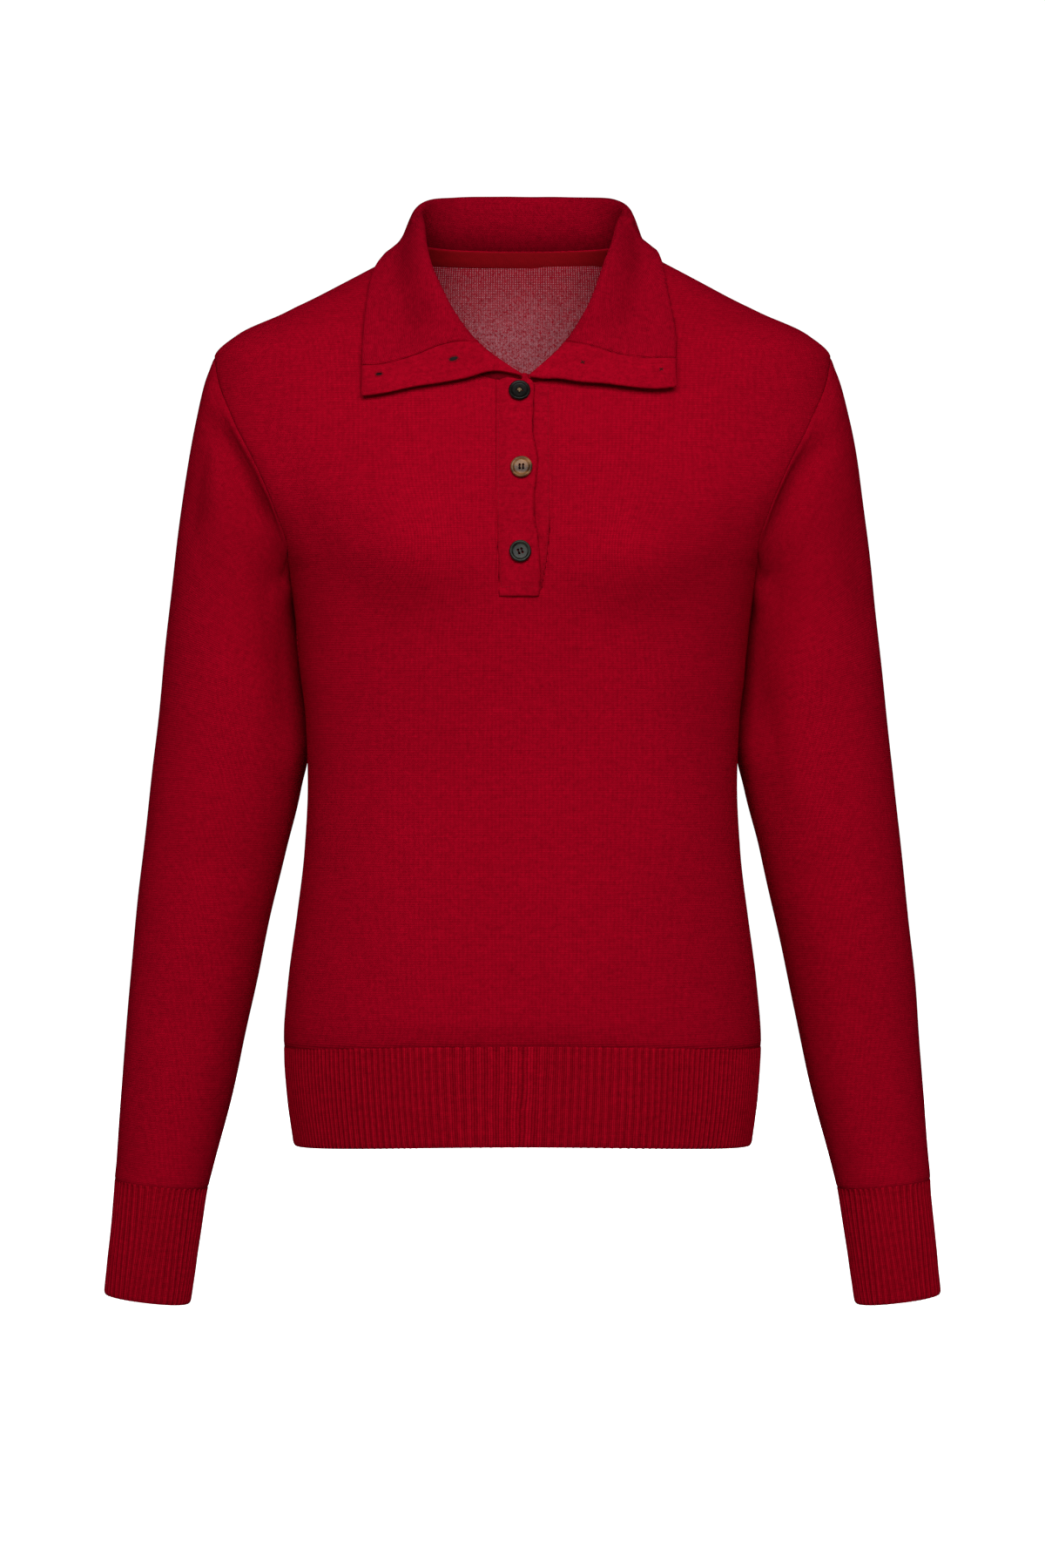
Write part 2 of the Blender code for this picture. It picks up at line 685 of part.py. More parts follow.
def add_object(name, bm, material_name, collection, smooth_angle=40):
    """A new object at the origin from a bmesh in millimetres."""
    bmesh.ops.scale(bm, vec=(MM, MM, MM), verts=bm.verts)
    mesh = bpy.data.meshes.new(name)
    bm.to_mesh(mesh)
    bm.free()
    mesh.shade_smooth()
    mesh.set_sharp_from_angle(angle=math.radians(smooth_angle))
    mesh.materials.append(material(material_name))
    obj = bpy.data.objects.new(name, mesh)
    collection.objects.link(obj)
    return obj


def cells(row_count, column_count, closed, skip=()):
    """Corner indices of a grid's cells, row by row, without the cells in `skip`."""
    found = []
    for i in range(row_count - 1):
        for j in range(column_count if closed else column_count - 1):
            if (i, j) not in skip:
                k = (j + 1) % column_count
                found.append(((i, j), (i, k), (i + 1, k), (i + 1, j)))
    return found


def shell(name, outer, inner, material_name, collection, closed=False, skip=()):
    """A wall between two grids of points, closed along all its free edges."""
    bm = bmesh.new()
    outer_verts = [[bm.verts.new(p) for p in row] for row in outer]
    inner_verts = [[bm.verts.new(p) for p in row] for row in inner]
    sides = {}
    for corners in cells(len(outer), len(outer[0]), closed, skip):
        bm.faces.new([outer_verts[i][j] for i, j in corners])
        bm.faces.new([inner_verts[i][j] for i, j in reversed(corners)])
        for a, b in zip(corners, corners[1:] + corners[:1]):
            if (b, a) in sides:
                del sides[(b, a)]
            else:
                sides[(a, b)] = True
    for edge in sides:
        # The same diagonal on both sides of a seam keeps its two rims parallel
        (ai, aj), (bi, bj) = sorted(edge)
        bm.faces.new([outer_verts[ai][aj], outer_verts[bi][bj], inner_verts[bi][bj]])
        bm.faces.new([outer_verts[ai][aj], inner_verts[bi][bj], inner_verts[ai][aj]])
    loose = [v for v in bm.verts if not v.link_faces]
    bmesh.ops.delete(bm, geom=loose, context="VERTS")
    bmesh.ops.recalc_face_normals(bm, faces=bm.faces)
    return add_object(name, bm, material_name, collection)


def ribbed_wall(name, outer, inner, material_name, collection, closed):
    """A wall with a fine ribbed outer grid and a coarse plain inner one, with the same rows."""
    bm = bmesh.new()
    outer_verts = [[bm.verts.new(p) for p in row] for row in outer]
    inner_verts = [[bm.verts.new(p) for p in row] for row in inner]
    fine, coarse = len(outer[0]), len(inner[0])
    for corners in cells(len(outer), fine, closed):
        bm.faces.new([outer_verts[i][j] for i, j in corners])
    for corners in cells(len(inner), coarse, closed):
        bm.faces.new([inner_verts[i][j] for i, j in reversed(corners)])
    inner_steps = coarse if closed else coarse - 1
    per_step = (fine if closed else fine - 1) // inner_steps
    for row in (0, len(outer) - 1):
        for k in range(inner_steps):
            rim = [outer_verts[row][(k * per_step + j) % fine] for j in range(per_step + 1)]
            rim += [inner_verts[row][(k + 1) % coarse], inner_verts[row][k]]
            bm.faces.new(rim if row == 0 else rim[::-1])
    if not closed:
        for column, inner_column in ((0, 0), (fine - 1, coarse - 1)):
            for i in range(len(outer) - 1):
                side = [outer_verts[i][column], outer_verts[i + 1][column],
                        inner_verts[i + 1][inner_column], inner_verts[i][inner_column]]
                bm.faces.new(side)
    bmesh.ops.recalc_face_normals(bm, faces=bm.faces)
    return add_object(name, bm, material_name, collection)


def solidified(name, rows, thickness, material_name, collection, flip=False):
    """An open sheet thickened away from its visible face."""
    bm = bmesh.new()
    verts = [[bm.verts.new(p) for p in row] for row in rows]
    for corners in cells(len(rows), len(rows[0]), False):
        face = [verts[i][j] for i, j in corners]
        bm.faces.new(face[::-1] if flip else face)
    obj = add_object(name, bm, material_name, collection)
    wall = obj.modifiers.new("wall", "SOLIDIFY")
    wall.thickness = thickness * MM
    wall.offset = -1
    wall.use_even_offset = True
    return obj


def panel_grid(facing):
    """Outer points of the front or back panel and the cells left open for the placket."""
    rows = panel_heights(facing)
    right_x, left_x = (-PLACKET_RIGHT_SEAM, PLACKET_LEFT_SEAM) if facing < 0 else (0.0, 0.0)
    outer = []
    for row in rows:
        right = [panel_point(c, row, right_x, facing, -1) for c in range(SIDE_COLUMNS, -1, -1)]
        left = [panel_point(c, row, left_x, facing, 1) for c in range(0 if facing < 0 else 1, SIDE_COLUMNS + 1)]
        outer.append(right + left)
    if facing > 0:
        return outer, set()
    start = next(i for i, row in enumerate(outer) if row[SIDE_COLUMNS].z > PLACKET_BOTTOM_HEIGHT)
    for j, side in ((SIDE_COLUMNS, -1), (SIDE_COLUMNS + 1, 1)):
        outer[start - 1][j] = on_torso(placket_seam_x(PLACKET_BOTTOM_HEIGHT, side), PLACKET_BOTTOM_HEIGHT, facing)
    return outer, {(i, SIDE_COLUMNS) for i in range(start - 1, len(rows) - 1)}


def inside_of(rows, depth):
    return [[p - torso_normal(p) * depth for p in row] for row in rows]


def make_panel(name, facing, collection):
    outer, opening = panel_grid(facing)
    return shell(name, outer, inside_of(outer, WALL), "knit", collection, skip=opening)


def make_sleeve(name, side, collection):
    outer = sleeve_grid(side)
    normals = sleeve_normals(outer, armhole_ring(side))
    inner = [[p - n * WALL for p, n in zip(*pair)] for pair in zip(outer, normals)]
    return shell(name, outer, inner, "knit", collection, closed=True)


def make_cuff(name, side, collection):
    fine = CUFF_RIBS * 2
    outer, inner = [], []
    for station in CUFF_STATIONS:
        relief = [0.0 if j % 2 == 0 else -RIB_DEPTH for j in range(fine)]
        outer.append([sleeve_section(station, 360 * j / fine, side, relief[j]) for j in range(fine)])
        steps = [360 * k / CUFF_INNER_STEPS for k in range(CUFF_INNER_STEPS)]
        inner.append([sleeve_section(station, angle, side, -WALL - RIB_DEPTH / 2) for angle in steps])
    return ribbed_wall(name, outer, inner, "rib", collection, closed=True)


def hem_point(share, height, facing, outward):
    """Point of the ribbed hem, share 0 at the wearer's right side seam and 1 at the left one."""
    turn = math.radians(-90 + 180 * share)
    power = torso("squareness", height)
    reach = abs(math.sin(turn)) ** (2 / power)
    x = torso("half_width", height) * math.copysign(reach, turn)
    point = on_torso(x, height, facing)
    if share in (0, 1):
        point.y = torso("ridge", height) + facing * SEAM_GAP / 2
    return point + torso_normal(point) * outward + Vector((0, 0, hem_rise(x, height, facing)))


def make_hem(name, facing, collection):
    fine = HEM_RIBS * 2
    outer, inner = [], []
    for height in HEM_ROW_HEIGHTS:
        outer.append([hem_point(j / fine, height, facing, -RIB_DEPTH * (j % 2)) for j in range(fine + 1)])
        steps = range(HEM_INNER_STEPS + 1)
        inner.append([hem_point(k / HEM_INNER_STEPS, height, facing, -WALL - RIB_DEPTH / 2) for k in steps])
    return ribbed_wall(name, outer, inner, "rib", collection, closed=False)


def sheet_normals(rows):
    """Normals of an open grid whose visible face has rows running right and columns running up it."""
    normals = []
    for i in range(len(rows)):
        line = []
        for j in range(len(rows[0])):
            along = rows[min(i + 1, len(rows) - 1)][j] - rows[max(i - 1, 0)][j]
            up = rows[i][min(j + 1, len(rows[0]) - 1)] - rows[i][max(j - 1, 0)]
            line.append(along.cross(up).normalized())
        normals.append(line)
    return normals


def make_collar(collection):
    """The collar and the two bands at its front edges: one folded sheet, parted at the band seams."""
    last = len(collar_rows()) - 1
    bands = [BAND_STATION * i / BAND_STEPS for i in range(BAND_STEPS)]
    step = (last - 2 * BAND_STATION) / (2 * COLLAR_STEPS_PER_SIDE)
    stations = bands + [BAND_STATION + step * i for i in range(2 * COLLAR_STEPS_PER_SIDE + 1)]
    stations += [last - station for station in bands[::-1]]
    visible = [collar_line(station) for station in stations]
    hidden = [[p - n * COLLAR_WALL for p, n in zip(*pair)] for pair in zip(visible, sheet_normals(visible))]
    end = len(stations) - 1
    for name, first, final, cloth in (
        ("collar_band_right", 0, BAND_STEPS, "band"),
        ("collar", BAND_STEPS, end - BAND_STEPS, "knit"),
        ("collar_band_left", end - BAND_STEPS, end, "band"),
    ):
        piece = [[list(row) for row in grid[first : final + 1]] for grid in (visible, hidden)]
        for grid in piece:
            if first > 0:
                grid[0] = [a + (b - a).normalized() * SEAM_GAP / 2 for a, b in zip(grid[0], grid[1])]
            if final < end:
                grid[-1] = [a + (b - a).normalized() * SEAM_GAP / 2 for a, b in zip(grid[-1], grid[-2])]
        shell(name, piece[0], piece[1], cloth, collection)


def make_placket(collection):
    top = neckline_curve(0).z - SEAM_GAP
    acrosses = (0.0, 0.2, 0.4, 0.7, 1.0)
    start = PLACKET_BOTTOM_HEIGHT + SEAM_GAP
    heights = [OVER_BAND_BOTTOM_HEIGHT, start]
    heights += [lerp(start + 4, top - OVER_BAND_TOP_DROP, i / PLACKET_ROWS) for i in range(PLACKET_ROWS + 1)]
    over = [[over_band_point(a, height) for a in acrosses] for height in heights]
    # Below the opening the band lies on the panel
    for i in (0, 1):
        over[i] = [on_torso(p.x, heights[i], -1, OVER_BAND_LIFT) for p in over[i]]
    solidified("placket_over", over, BAND_WALL, "band", collection)
    under = []
    for i in range(PLACKET_ROWS + 1):
        height = lerp(PLACKET_BOTTOM_HEIGHT + SEAM_GAP, top, i / PLACKET_ROWS)
        right, left = UNDER_BAND_EDGE, placket_seam_x(height, 1) - BAND_SEAM_GAP
        under.append([on_torso(lerp(right, left, a), height, -1) for a in (0.0, 0.33, 0.67, 1.0)])
    solidified("placket_under", under, BAND_WALL, "band", collection)


def down_column(rows, column, drop):
    """Point a distance below the top of a grid's column, along it."""
    for above, below in zip(rows[::-1], rows[-2::-1]):
        span = (below[column] - above[column]).length
        if drop <= span:
            return above[column].lerp(below[column], drop / span)
        drop -= span
    return rows[0][column]


def make_tape(collection):
    """A strip inside the back neck, parallel to the panel's own facets."""
    panel, _ = panel_grid(1)
    columns = range(SIDE_COLUMNS - TAPE_SIDE_COLUMNS, SIDE_COLUMNS + TAPE_SIDE_COLUMNS + 1)
    faces = []
    for depth in (WALL + TAPE_GAP, WALL + TAPE_GAP + TAPE_WALL):
        rows = inside_of(panel, depth)
        bends = {c: (rows[-1][c] - rows[-2][c]).length for c in columns}
        faces.append([[down_column(rows, c, TAPE_DROP) for c in columns]])
        faces[-1].append([down_column(rows, c, bends[c]) for c in columns])
        faces[-1].append([down_column(rows, c, bends[c] + TAPE_BELOW_BEND) for c in columns])
    return shell("neck_tape", faces[0], faces[1], "tape", collection)


def button_profile():
    """(radius, height) of half a button, from the middle of its face round the rim to the back."""
    face = BUTTON_THICKNESS / 2
    rim = BUTTON_RADIUS - BUTTON_RIM_WIDTH
    return (
        (0.0, face - BUTTON_DISH_DEPTH),
        (rim - 0.9, face - BUTTON_DISH_DEPTH),
        (rim, face - 0.15),
        (rim + 0.7, face),
        (BUTTON_RADIUS - 0.35, face - 0.35),
        (BUTTON_RADIUS, face - 1.1),
        (BUTTON_RADIUS - 1.3, -face + 0.2),
        (BUTTON_RADIUS - 2.4, -face),
        (0.0, -face),
    )


def make_button(name, centre, normal, turn, material_name, collection, cutters):
    """A turned button at a place, facing along a normal, with its four holes cut through."""
    bm = bmesh.new()
    profile = [bm.verts.new((r, 0, z)) for r, z in button_profile()]
    for a, b in zip(profile, profile[1:]):
        bm.edges.new((a, b))
    button = add_object(name, bm, material_name, collection, 30)
    turned = button.modifiers.new("turned", "SCREW")
    turned.steps = BUTTON_SIDES
    turned.render_steps = BUTTON_SIDES
    turned.use_merge_vertices = True
    turned.merge_threshold = 0.00001
    holes = bmesh.new()
    for i in range(4):
        angle = math.radians(45 + 90 * i)
        at = Vector((math.cos(angle), math.sin(angle), 0)) * BUTTON_HOLE_OFFSET
        bmesh.ops.create_cone(holes, cap_ends=True, segments=8, radius1=BUTTON_HOLE_RADIUS,
                              radius2=BUTTON_HOLE_RADIUS, depth=BUTTON_THICKNESS * 2, matrix=Matrix.Translation(at))
    cutter = add_object(name + "_holes", holes, material_name, cutters, 30)
    cutter.hide_render = True
    cutter.display_type = "WIRE"
    cut = button.modifiers.new("holes", "BOOLEAN")
    cut.object = cutter
    cut.operation = "DIFFERENCE"
    cut.solver = "EXACT"
    facing = normal.to_track_quat("Z", "Y").to_matrix().to_4x4()
    placed = Matrix.Translation(centre * MM) @ facing @ Matrix.Rotation(math.radians(turn), 4, "Z")
    button.matrix_world = placed
    cutter.matrix_world = placed
    return button


def make_buttons(collection, cutters):
    for name, x, height, tip_up, tip_right, turn, material_name in FRONT_BUTTONS:
        surface = on_torso(x, height, -1, band_offset(x, height))
        normal = torso_normal(surface)
        normal = Matrix.Rotation(math.radians(tip_up), 3, "X") @ normal
        normal = Matrix.Rotation(math.radians(tip_right), 3, "Z") @ normal
        tipped = math.radians(abs(tip_up) + abs(tip_right))
        lift = BUTTON_GAP + BUTTON_THICKNESS / 2 + BUTTON_RADIUS * 0.7 * math.sin(tipped)
        make_button(name, surface + torso_normal(surface) * lift, normal, turn, material_name, collection, cutters)
    last = len(collar_rows()) - 1
    for name, across, along in COLLAR_BUTTONS:
        here = fall_point(last - across, along)
        beside = fall_point(last - across + 0.2, along) - here
        onward = fall_point(last - across, along + 0.05) - here
        normal = beside.cross(onward).normalized()
        if normal.y < 0:
            normal = -normal
        centre = here + normal * (COLLAR_WALL + BUTTON_GAP + BUTTON_THICKNESS / 2)
        make_button(name, centre, normal, 0, "button_dark", collection, cutters)


def main():
    for obj in list(bpy.data.objects):
        bpy.data.objects.remove(obj, do_unlink=True)
    pullover = bpy.data.collections.new("polo_collar_pullover")
    cutters = bpy.data.collections.new("cutters")
    bpy.context.scene.collection.children.link(pullover)
    bpy.context.scene.collection.children.link(cutters)

    make_panel("front", -1, pullover)
    make_panel("back", 1, pullover)
    make_hem("hem_rib_front", -1, pullover)
    make_hem("hem_rib_back", 1, pullover)
    for name, side in (("right", -1), ("left", 1)):
        make_sleeve("sleeve_" + name, side, pullover)
        make_cuff("cuff_" + name, side, pullover)
    make_collar(pullover)
    make_placket(pullover)
    make_tape(pullover)
    make_buttons(pullover, cutters)


main()
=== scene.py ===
"""Looks of the knitted polo-collar sweater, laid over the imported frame.

Metres in Blender, millimetres in the tables. The front faces -Y and the wearer's right is -X. Every piece
of cloth is a thin shell on the same surfaces that the solids were made from: one closed section of the
torso at each height, a row of sections down each sleeve, and a row of folded sections round the collar.
"""

import math

import bpy
import numpy as np
from mathutils import Matrix, Vector


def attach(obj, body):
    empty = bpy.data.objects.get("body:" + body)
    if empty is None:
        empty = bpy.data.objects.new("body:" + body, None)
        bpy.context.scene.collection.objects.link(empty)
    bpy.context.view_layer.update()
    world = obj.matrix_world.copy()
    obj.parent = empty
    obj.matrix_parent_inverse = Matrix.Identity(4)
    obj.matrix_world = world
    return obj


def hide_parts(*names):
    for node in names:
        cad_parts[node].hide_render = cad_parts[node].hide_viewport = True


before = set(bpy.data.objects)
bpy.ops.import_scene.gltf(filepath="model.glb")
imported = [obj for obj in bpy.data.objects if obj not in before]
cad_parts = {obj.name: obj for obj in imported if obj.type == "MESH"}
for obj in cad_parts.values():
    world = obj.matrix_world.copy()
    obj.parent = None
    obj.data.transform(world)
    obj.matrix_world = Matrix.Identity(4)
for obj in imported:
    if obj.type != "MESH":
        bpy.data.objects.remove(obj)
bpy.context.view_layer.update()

MM = 0.001

# Cloth and seams, in millimetres
WALL = 1.8
COLLAR_WALL = 2.2
BAND_WALL = 2.0
SEAM_GAP = 0.3
REST_CLEARANCE = 1.2

# Levels of the body
HEM_HEIGHT = -577.0
RIB_TOP_HEIGHT = -512.0
HEM_FRONT_RISE = 5.0
HEM_RISE_START_HEIGHT = -380
HEM_RISE_FADE = 120
UNDERARM_HEIGHT = -206.0
YOKE_START_HEIGHT = -150.0
SHOULDER_TIP_HEIGHT = -63.0
NECK_SIDE_HEIGHT = 15.0
NECK_HALF_WIDTH = 73.0
FRONT_NECK_DROP = 99.0
BACK_NECK_RISE = -0.8
NECK_SHARE = 0.5

# Chest fullness
FULLNESS = 4.0
FULLNESS_OFFSET = 58.0
FULLNESS_HEIGHT = -178.0
FULLNESS_SPREAD = 43.0

TORSO_COLUMNS = ("height", "half_width", "ridge", "front", "back", "squareness")
TORSO = (
    (-577, 149.5, -6, 97, 103, 2.4),
    (-545, 153.6, -6, 100, 106, 2.4),
    (-512, 155.6, -6, 102, 107, 2.4),
    (-470, 152.6, -6, 101, 105, 2.4),
    (-427, 147.0, -6, 98, 101, 2.4),
    (-385, 142.3, -6, 95, 95, 2.4),
    (-342, 140.2, -6, 94, 91, 2.4),
    (-302, 141.4, -6, 96, 92, 2.4),
    (-268, 145.4, -5, 100, 95, 2.4),
    (-239, 148.5, -4, 104, 99, 2.4),
    (-206, 153.5, -2, 109, 101, 2.4),
    (-190, 162.5, 0, 110, 102, 2.4),
    (-165, 180.0, 3, 110, 101, 2.4),
    (-138, 196.0, 5, 105, 100, 2.4),
    (-110, 203.0, 5, 95, 99, 2.4),
    (-82, 203.5, 5, 84, 95, 2.4),
    (-63, 202.0, 5, 76, 91, 2.4),
    (-48, 187.0, 5, 69, 87, 2.4),
    (-34, 160.0, 5, 60, 83, 2.4),
    (-20, 131.0, 5, 51, 79, 2.45),
    (-7, 105.0, 5, 41, 74.5, 2.5),
    (2, 88.5, 5, 32, 71, 2.55),
    (9, 79.0, 5, 25, 68.5, 2.6),
    (15, 73.0, 5, 19, 67, 2.6),
    (22, 69.0, 5, 15, 66, 2.6),
)
ARMHOLE_COLUMNS = ("height", "front", "back")
ARMHOLE = (
    (-206, 153.5, 153.5),
    (-193, 151.5, 157.5),
    (-166, 159, 169),
    (-138, 170.5, 182),
    (-110, 185, 192),
    (-82, 197.5, 200),
    (-63, 202, 202),
)
SLEEVE_COLUMNS = ("station", "outer_x", "outer_z", "inner_x", "inner_z", "depth", "middle_y")
SLEEVE = (
    (0, 202.0, -63, 153.5, -206, 54.0, 5),
    (1, 208.5, -79, 153.9, -214, 54.5, 6),
    (2, 214.2, -103, 152.4, -223, 55.5, 8),
    (3, 220.3, -135, 150.3, -234, 56.5, 11),
    (4, 226.1, -175, 148.0, -248, 57.0, 14),
    (5, 231.6, -222, 146.2, -269, 56.5, 17),
    (6, 237.6, -280, 142.2, -303, 55.0, 19),
    (7, 244.0, -338, 146.4, -346, 53.0, 20),
    (8, 249.5, -385, 156.4, -387, 50.0, 19),
    (9, 253.9, -428, 166.5, -431, 47.0, 17),
    (10, 258.8, -484, 178.2, -488, 42.5, 14),
    (11, 263.1, -541, 190.6, -546, 38.0, 10),
    (12, 266.4, -588, 202.8, -593, 34.0, 6),
    (13, 267.3, -600, 206.0, -606, 33.0, 5),
    (14, 270.2, -636, 211.6, -642, 31.5, 3),
    (15, 274.0, -675, 217.2, -682, 30.5, 1),
)
SLEEVE_SQUARENESS = 2.15
ARMHOLE_FADE_STATIONS = 3.5
SLEEVE_EVEN_STATION = 5.0
CUFF_START_STATION = 13
CUFF_END_STATION = 15
ARMHOLE_HEIGHTS = (-188, -169)
YOKE_ROWS = 7
YOKE_ROW_POWER = 1.6

# Ribs: their shape, their width in the knit's places, how their edges are drawn in, and what laps over them
RIB_DEPTH = 0.6
RIB_SHARPNESS = 0.8
RIB_PITCH = 2.8
RIB_EDGE_SINK = 0.9
RIB_EDGE_REACH = 2.6
RIB_LAP = 1.2
CUFF_LAP = 0.9
CUFF_DROP = 79.0
STEPS_PER_RIB = 8
HEM_RIBS = 96
CUFF_RIBS = 46

PLACKET_RIGHT_SEAM = -16.7
PLACKET_LEFT_SEAM = 17.8
PLACKET_BOTTOM_HEIGHT = -220.5
UNDER_BAND_EDGE = -6.0
OVER_BAND_RISE_WIDTH = 9.0
OVER_BAND_LIFT = 2.65
OVER_BAND_BOTTOM_HEIGHT = -223.5
OVER_BAND_TOP_DROP = 2.2
PLACKET_TAPER_COLUMNS = ("height", "right", "left")
PLACKET_TAPER = (
    (-226, 2.4, 6.6),
    (-212, 1.5, 4.2),
    (-196, 0.7, 1.5),
    (-180, 0.2, 0.3),
    (-150, 0.0, 0.0),
)
OVER_BAND_EDGE_COLUMNS = ("height", "x")
OVER_BAND_EDGE = (
    (-226, 10.4),
    (-217, 10.8),
    (-200, 10.4),
    (-188, 9.6),
    (-172, 7.1),
    (-160, 7.1),
    (-150, 8.3),
    (-138, 9.3),
    (-128, 7.7),
    (-118, 6.1),
    (-100, 6.7),
    (-84, 7.8),
)

COLLAR_COLUMNS = ("angle", "roll_x", "roll_y", "roll_z", "edge_x", "edge_y", "edge_z", "roll", "lift")
RIGHT_FLAP = (
    (0.3, -0.5, -88.0, -81.6, -102.5, -82.6, -94.9, 3.0, 3.5),
    (20, -28.3, -82.0, -60.7, -102.3, -76.0, -74.1, 9.5, 2.5),
    (32, -44.0, -67.5, -40.0, -102.4, -69.7, -62.0, 8.5, 1.5),
    (44, -52.1, -53.0, -22.8, -101.7, -60.2, -47.1, 8.0, 0.5),
    (56, -58.5, -40.0, -6.8, -100.4, -48.0, -32.0, 9.0, 0.2),
    (69, -62.2, -25.0, 8.0, -97.6, -29.0, -14.0, 9.5, 0.0),
    (84, -64.3, -5.0, 24.5, -88.5, 2.0, 6.4, 9.5, 1.0),
)
COLLAR_BACK = (
    (105, -66.5, 22.0, 38.0, -84.5, 36.0, 4.5, 9.0, 0.6),
    (122, -59.5, 46.0, 46.5, -74.5, 58.0, 3.5, 8.5, 0.0),
    (140, -44.0, 62.5, 49.8, -51.0, 73.5, 4.0, 8.0, 0.0),
    (160, -23.0, 71.0, 51.3, -26.0, 81.0, 5.0, 8.0, 0.0),
    (180, 0.0, 74.0, 51.6, 0.0, 84.0, 5.0, 8.0, 0.0),
)
LEFT_FLAP = (
    (2.3, 4.0, -86.5, -82.4, 98.1, -84.5, -88.2, 2.0, 5.0),
    (20, 27.7, -81.0, -60.0, 97.3, -76.5, -70.3, 8.5, 5.0),
    (32, 39.8, -66.0, -40.0, 98.1, -68.5, -57.9, 7.0, 3.0),
    (44, 46.8, -53.0, -22.8, 96.7, -58.5, -43.0, 8.0, 1.0),
    (56, 52.0, -40.0, -6.8, 94.3, -46.0, -27.6, 9.0, 0.3),
    (69, 57.0, -25.0, 8.0, 91.5, -29.0, -12.5, 9.5, 0.0),
    (84, 61.0, -5.0, 24.5, 86.8, 2.0, 6.4, 9.5, 1.0),
)
FLAP_WAVE_COLUMNS = ("along", "right_edge", "right_seam", "left_edge", "left_seam")
FLAP_WAVE = (
    (0.0, 0.0, 0.0, 0.0, 0.0),
    (0.2, 6.0, 3.2, -0.3, -0.4),
    (0.35, 4.0, 2.8, -2.2, -1.5),
    (0.5, 2.4, 0.5, -2.2, -3.0),
    (0.7, 1.5, -1.2, -3.6, -3.3),
    (0.85, -0.5, -1.8, -3.6, -1.8),
    (1.0, 0.0, 0.0, 0.0, 0.0),
)
WAVE_FADE_STATION = 3.0
BAND_STATION = 1.0
FALL_PULL = 0.35
FALL_SAG = 2.0
ROLL_RISE = 0.25
STAND_BEND = 0.5
STAND_GAP = 0.7

BUTTON_RADIUS = 7.0
BUTTON_THICKNESS = 3.0
BUTTON_RIM_WIDTH = 1.6
BUTTON_DISH_DEPTH = 0.8
BUTTON_HOLE_RADIUS = 0.85
BUTTON_HOLE_OFFSET = 1.6
BUTTON_GAP = 0.5
FRONT_BUTTONS = (
    ("button_top", -1.9, -93.6, 0, 0, 40, "button_dark"),
    ("button_middle", -0.8, -143.4, 5, -6, 0, "button_horn"),
    ("button_bottom", -1.6, -195.7, 0, 0, 20, "button_dark"),
)
COLLAR_BUTTONS = (("button_collar_inner", 0.48, 0.44), ("button_collar_outer", 0.5, 0.88))

# Reading the tables, and the torso's surface: steps of the numerical work
TABLE_STEPS = 1600
GRADIENT_STEP = 0.5
PUSH_ROUNDS = 4


def tabled(table, columns):
    """Each column of a table as a function of places, on a smooth curve that never overshoots a row."""
    rows = np.array(table, float)
    knots, values = rows[:, :1], rows[:, 1:]
    chords = np.diff(values, axis=0) / np.diff(knots, axis=0)
    product, total = chords[:-1] * chords[1:], chords[:-1] + chords[1:]
    inner = np.where(product > 0, 2 * product / np.where(product > 0, total, 1), 0)
    slopes = np.concatenate([chords[:1], inner, chords[-1:]])
    at = np.linspace(rows[0, 0], rows[-1, 0], TABLE_STEPS)
    i = np.clip(np.searchsorted(rows[:, 0], at, side="right") - 1, 0, len(rows) - 2)
    width = knots[i + 1] - knots[i]
    t = (at[:, None] - knots[i]) / width
    dense = (2 * t**3 - 3 * t**2 + 1) * values[i] + (t**3 - 2 * t**2 + t) * width * slopes[i]
    dense += (3 * t**2 - 2 * t**3) * values[i + 1] + (t**3 - t**2) * width * slopes[i + 1]
    return {name: lambda where, v=v: np.interp(where, at, v) for name, v in zip(columns[1:], dense.T)}


torso = tabled(TORSO, TORSO_COLUMNS)
armhole = tabled(ARMHOLE, ARMHOLE_COLUMNS)
sleeve = tabled(SLEEVE, SLEEVE_COLUMNS)
placket_taper = tabled(PLACKET_TAPER, PLACKET_TAPER_COLUMNS)
over_band_edge = tabled(OVER_BAND_EDGE, OVER_BAND_EDGE_COLUMNS)["x"]
wave = tabled(FLAP_WAVE, FLAP_WAVE_COLUMNS)


def lerp(a, b, t):
    return a + (b - a) * t


def smooth_step(low, high, at):
    t = np.clip((at - low) / (high - low), 0, 1)
    return t * t * (3 - 2 * t)


def bell(at, middle, width):
    return np.exp(-(((at - middle) / width) ** 2))


def near(gap, reach):
    """1 at an edge, falling softly to 0 at the distance `reach` from it."""
    return (1 - np.clip(gap / reach, 0, 1)) ** 2


def raised(points, normals, by):
    return points + normals * np.asarray(by, float)[..., None]


def unit(vectors):
    return vectors / np.maximum(np.linalg.norm(vectors, axis=-1, keepdims=True), 1e-9)


def stacked(x, y, z):
    return np.stack(np.broadcast_arrays(x, y, z), axis=-1).astype(float)


# The torso's surface


def torso_depth(x, height, facing):
    if facing > 0:
        return torso["back"](height)
    across = (np.abs(x) - FULLNESS_OFFSET) / FULLNESS_SPREAD
    upward = (height - FULLNESS_HEIGHT) / FULLNESS_SPREAD
    return torso["front"](height) + FULLNESS * np.exp(-(across**2) - upward**2)


def torso_y(x, height, facing):
    power = torso["squareness"](height)
    ratio = np.minimum(np.abs(x) / torso["half_width"](height), 1.0)
    deep = torso_depth(x, height, facing) * (1 - ratio**power) ** (1 / power)
    return torso["ridge"](height) + facing * deep


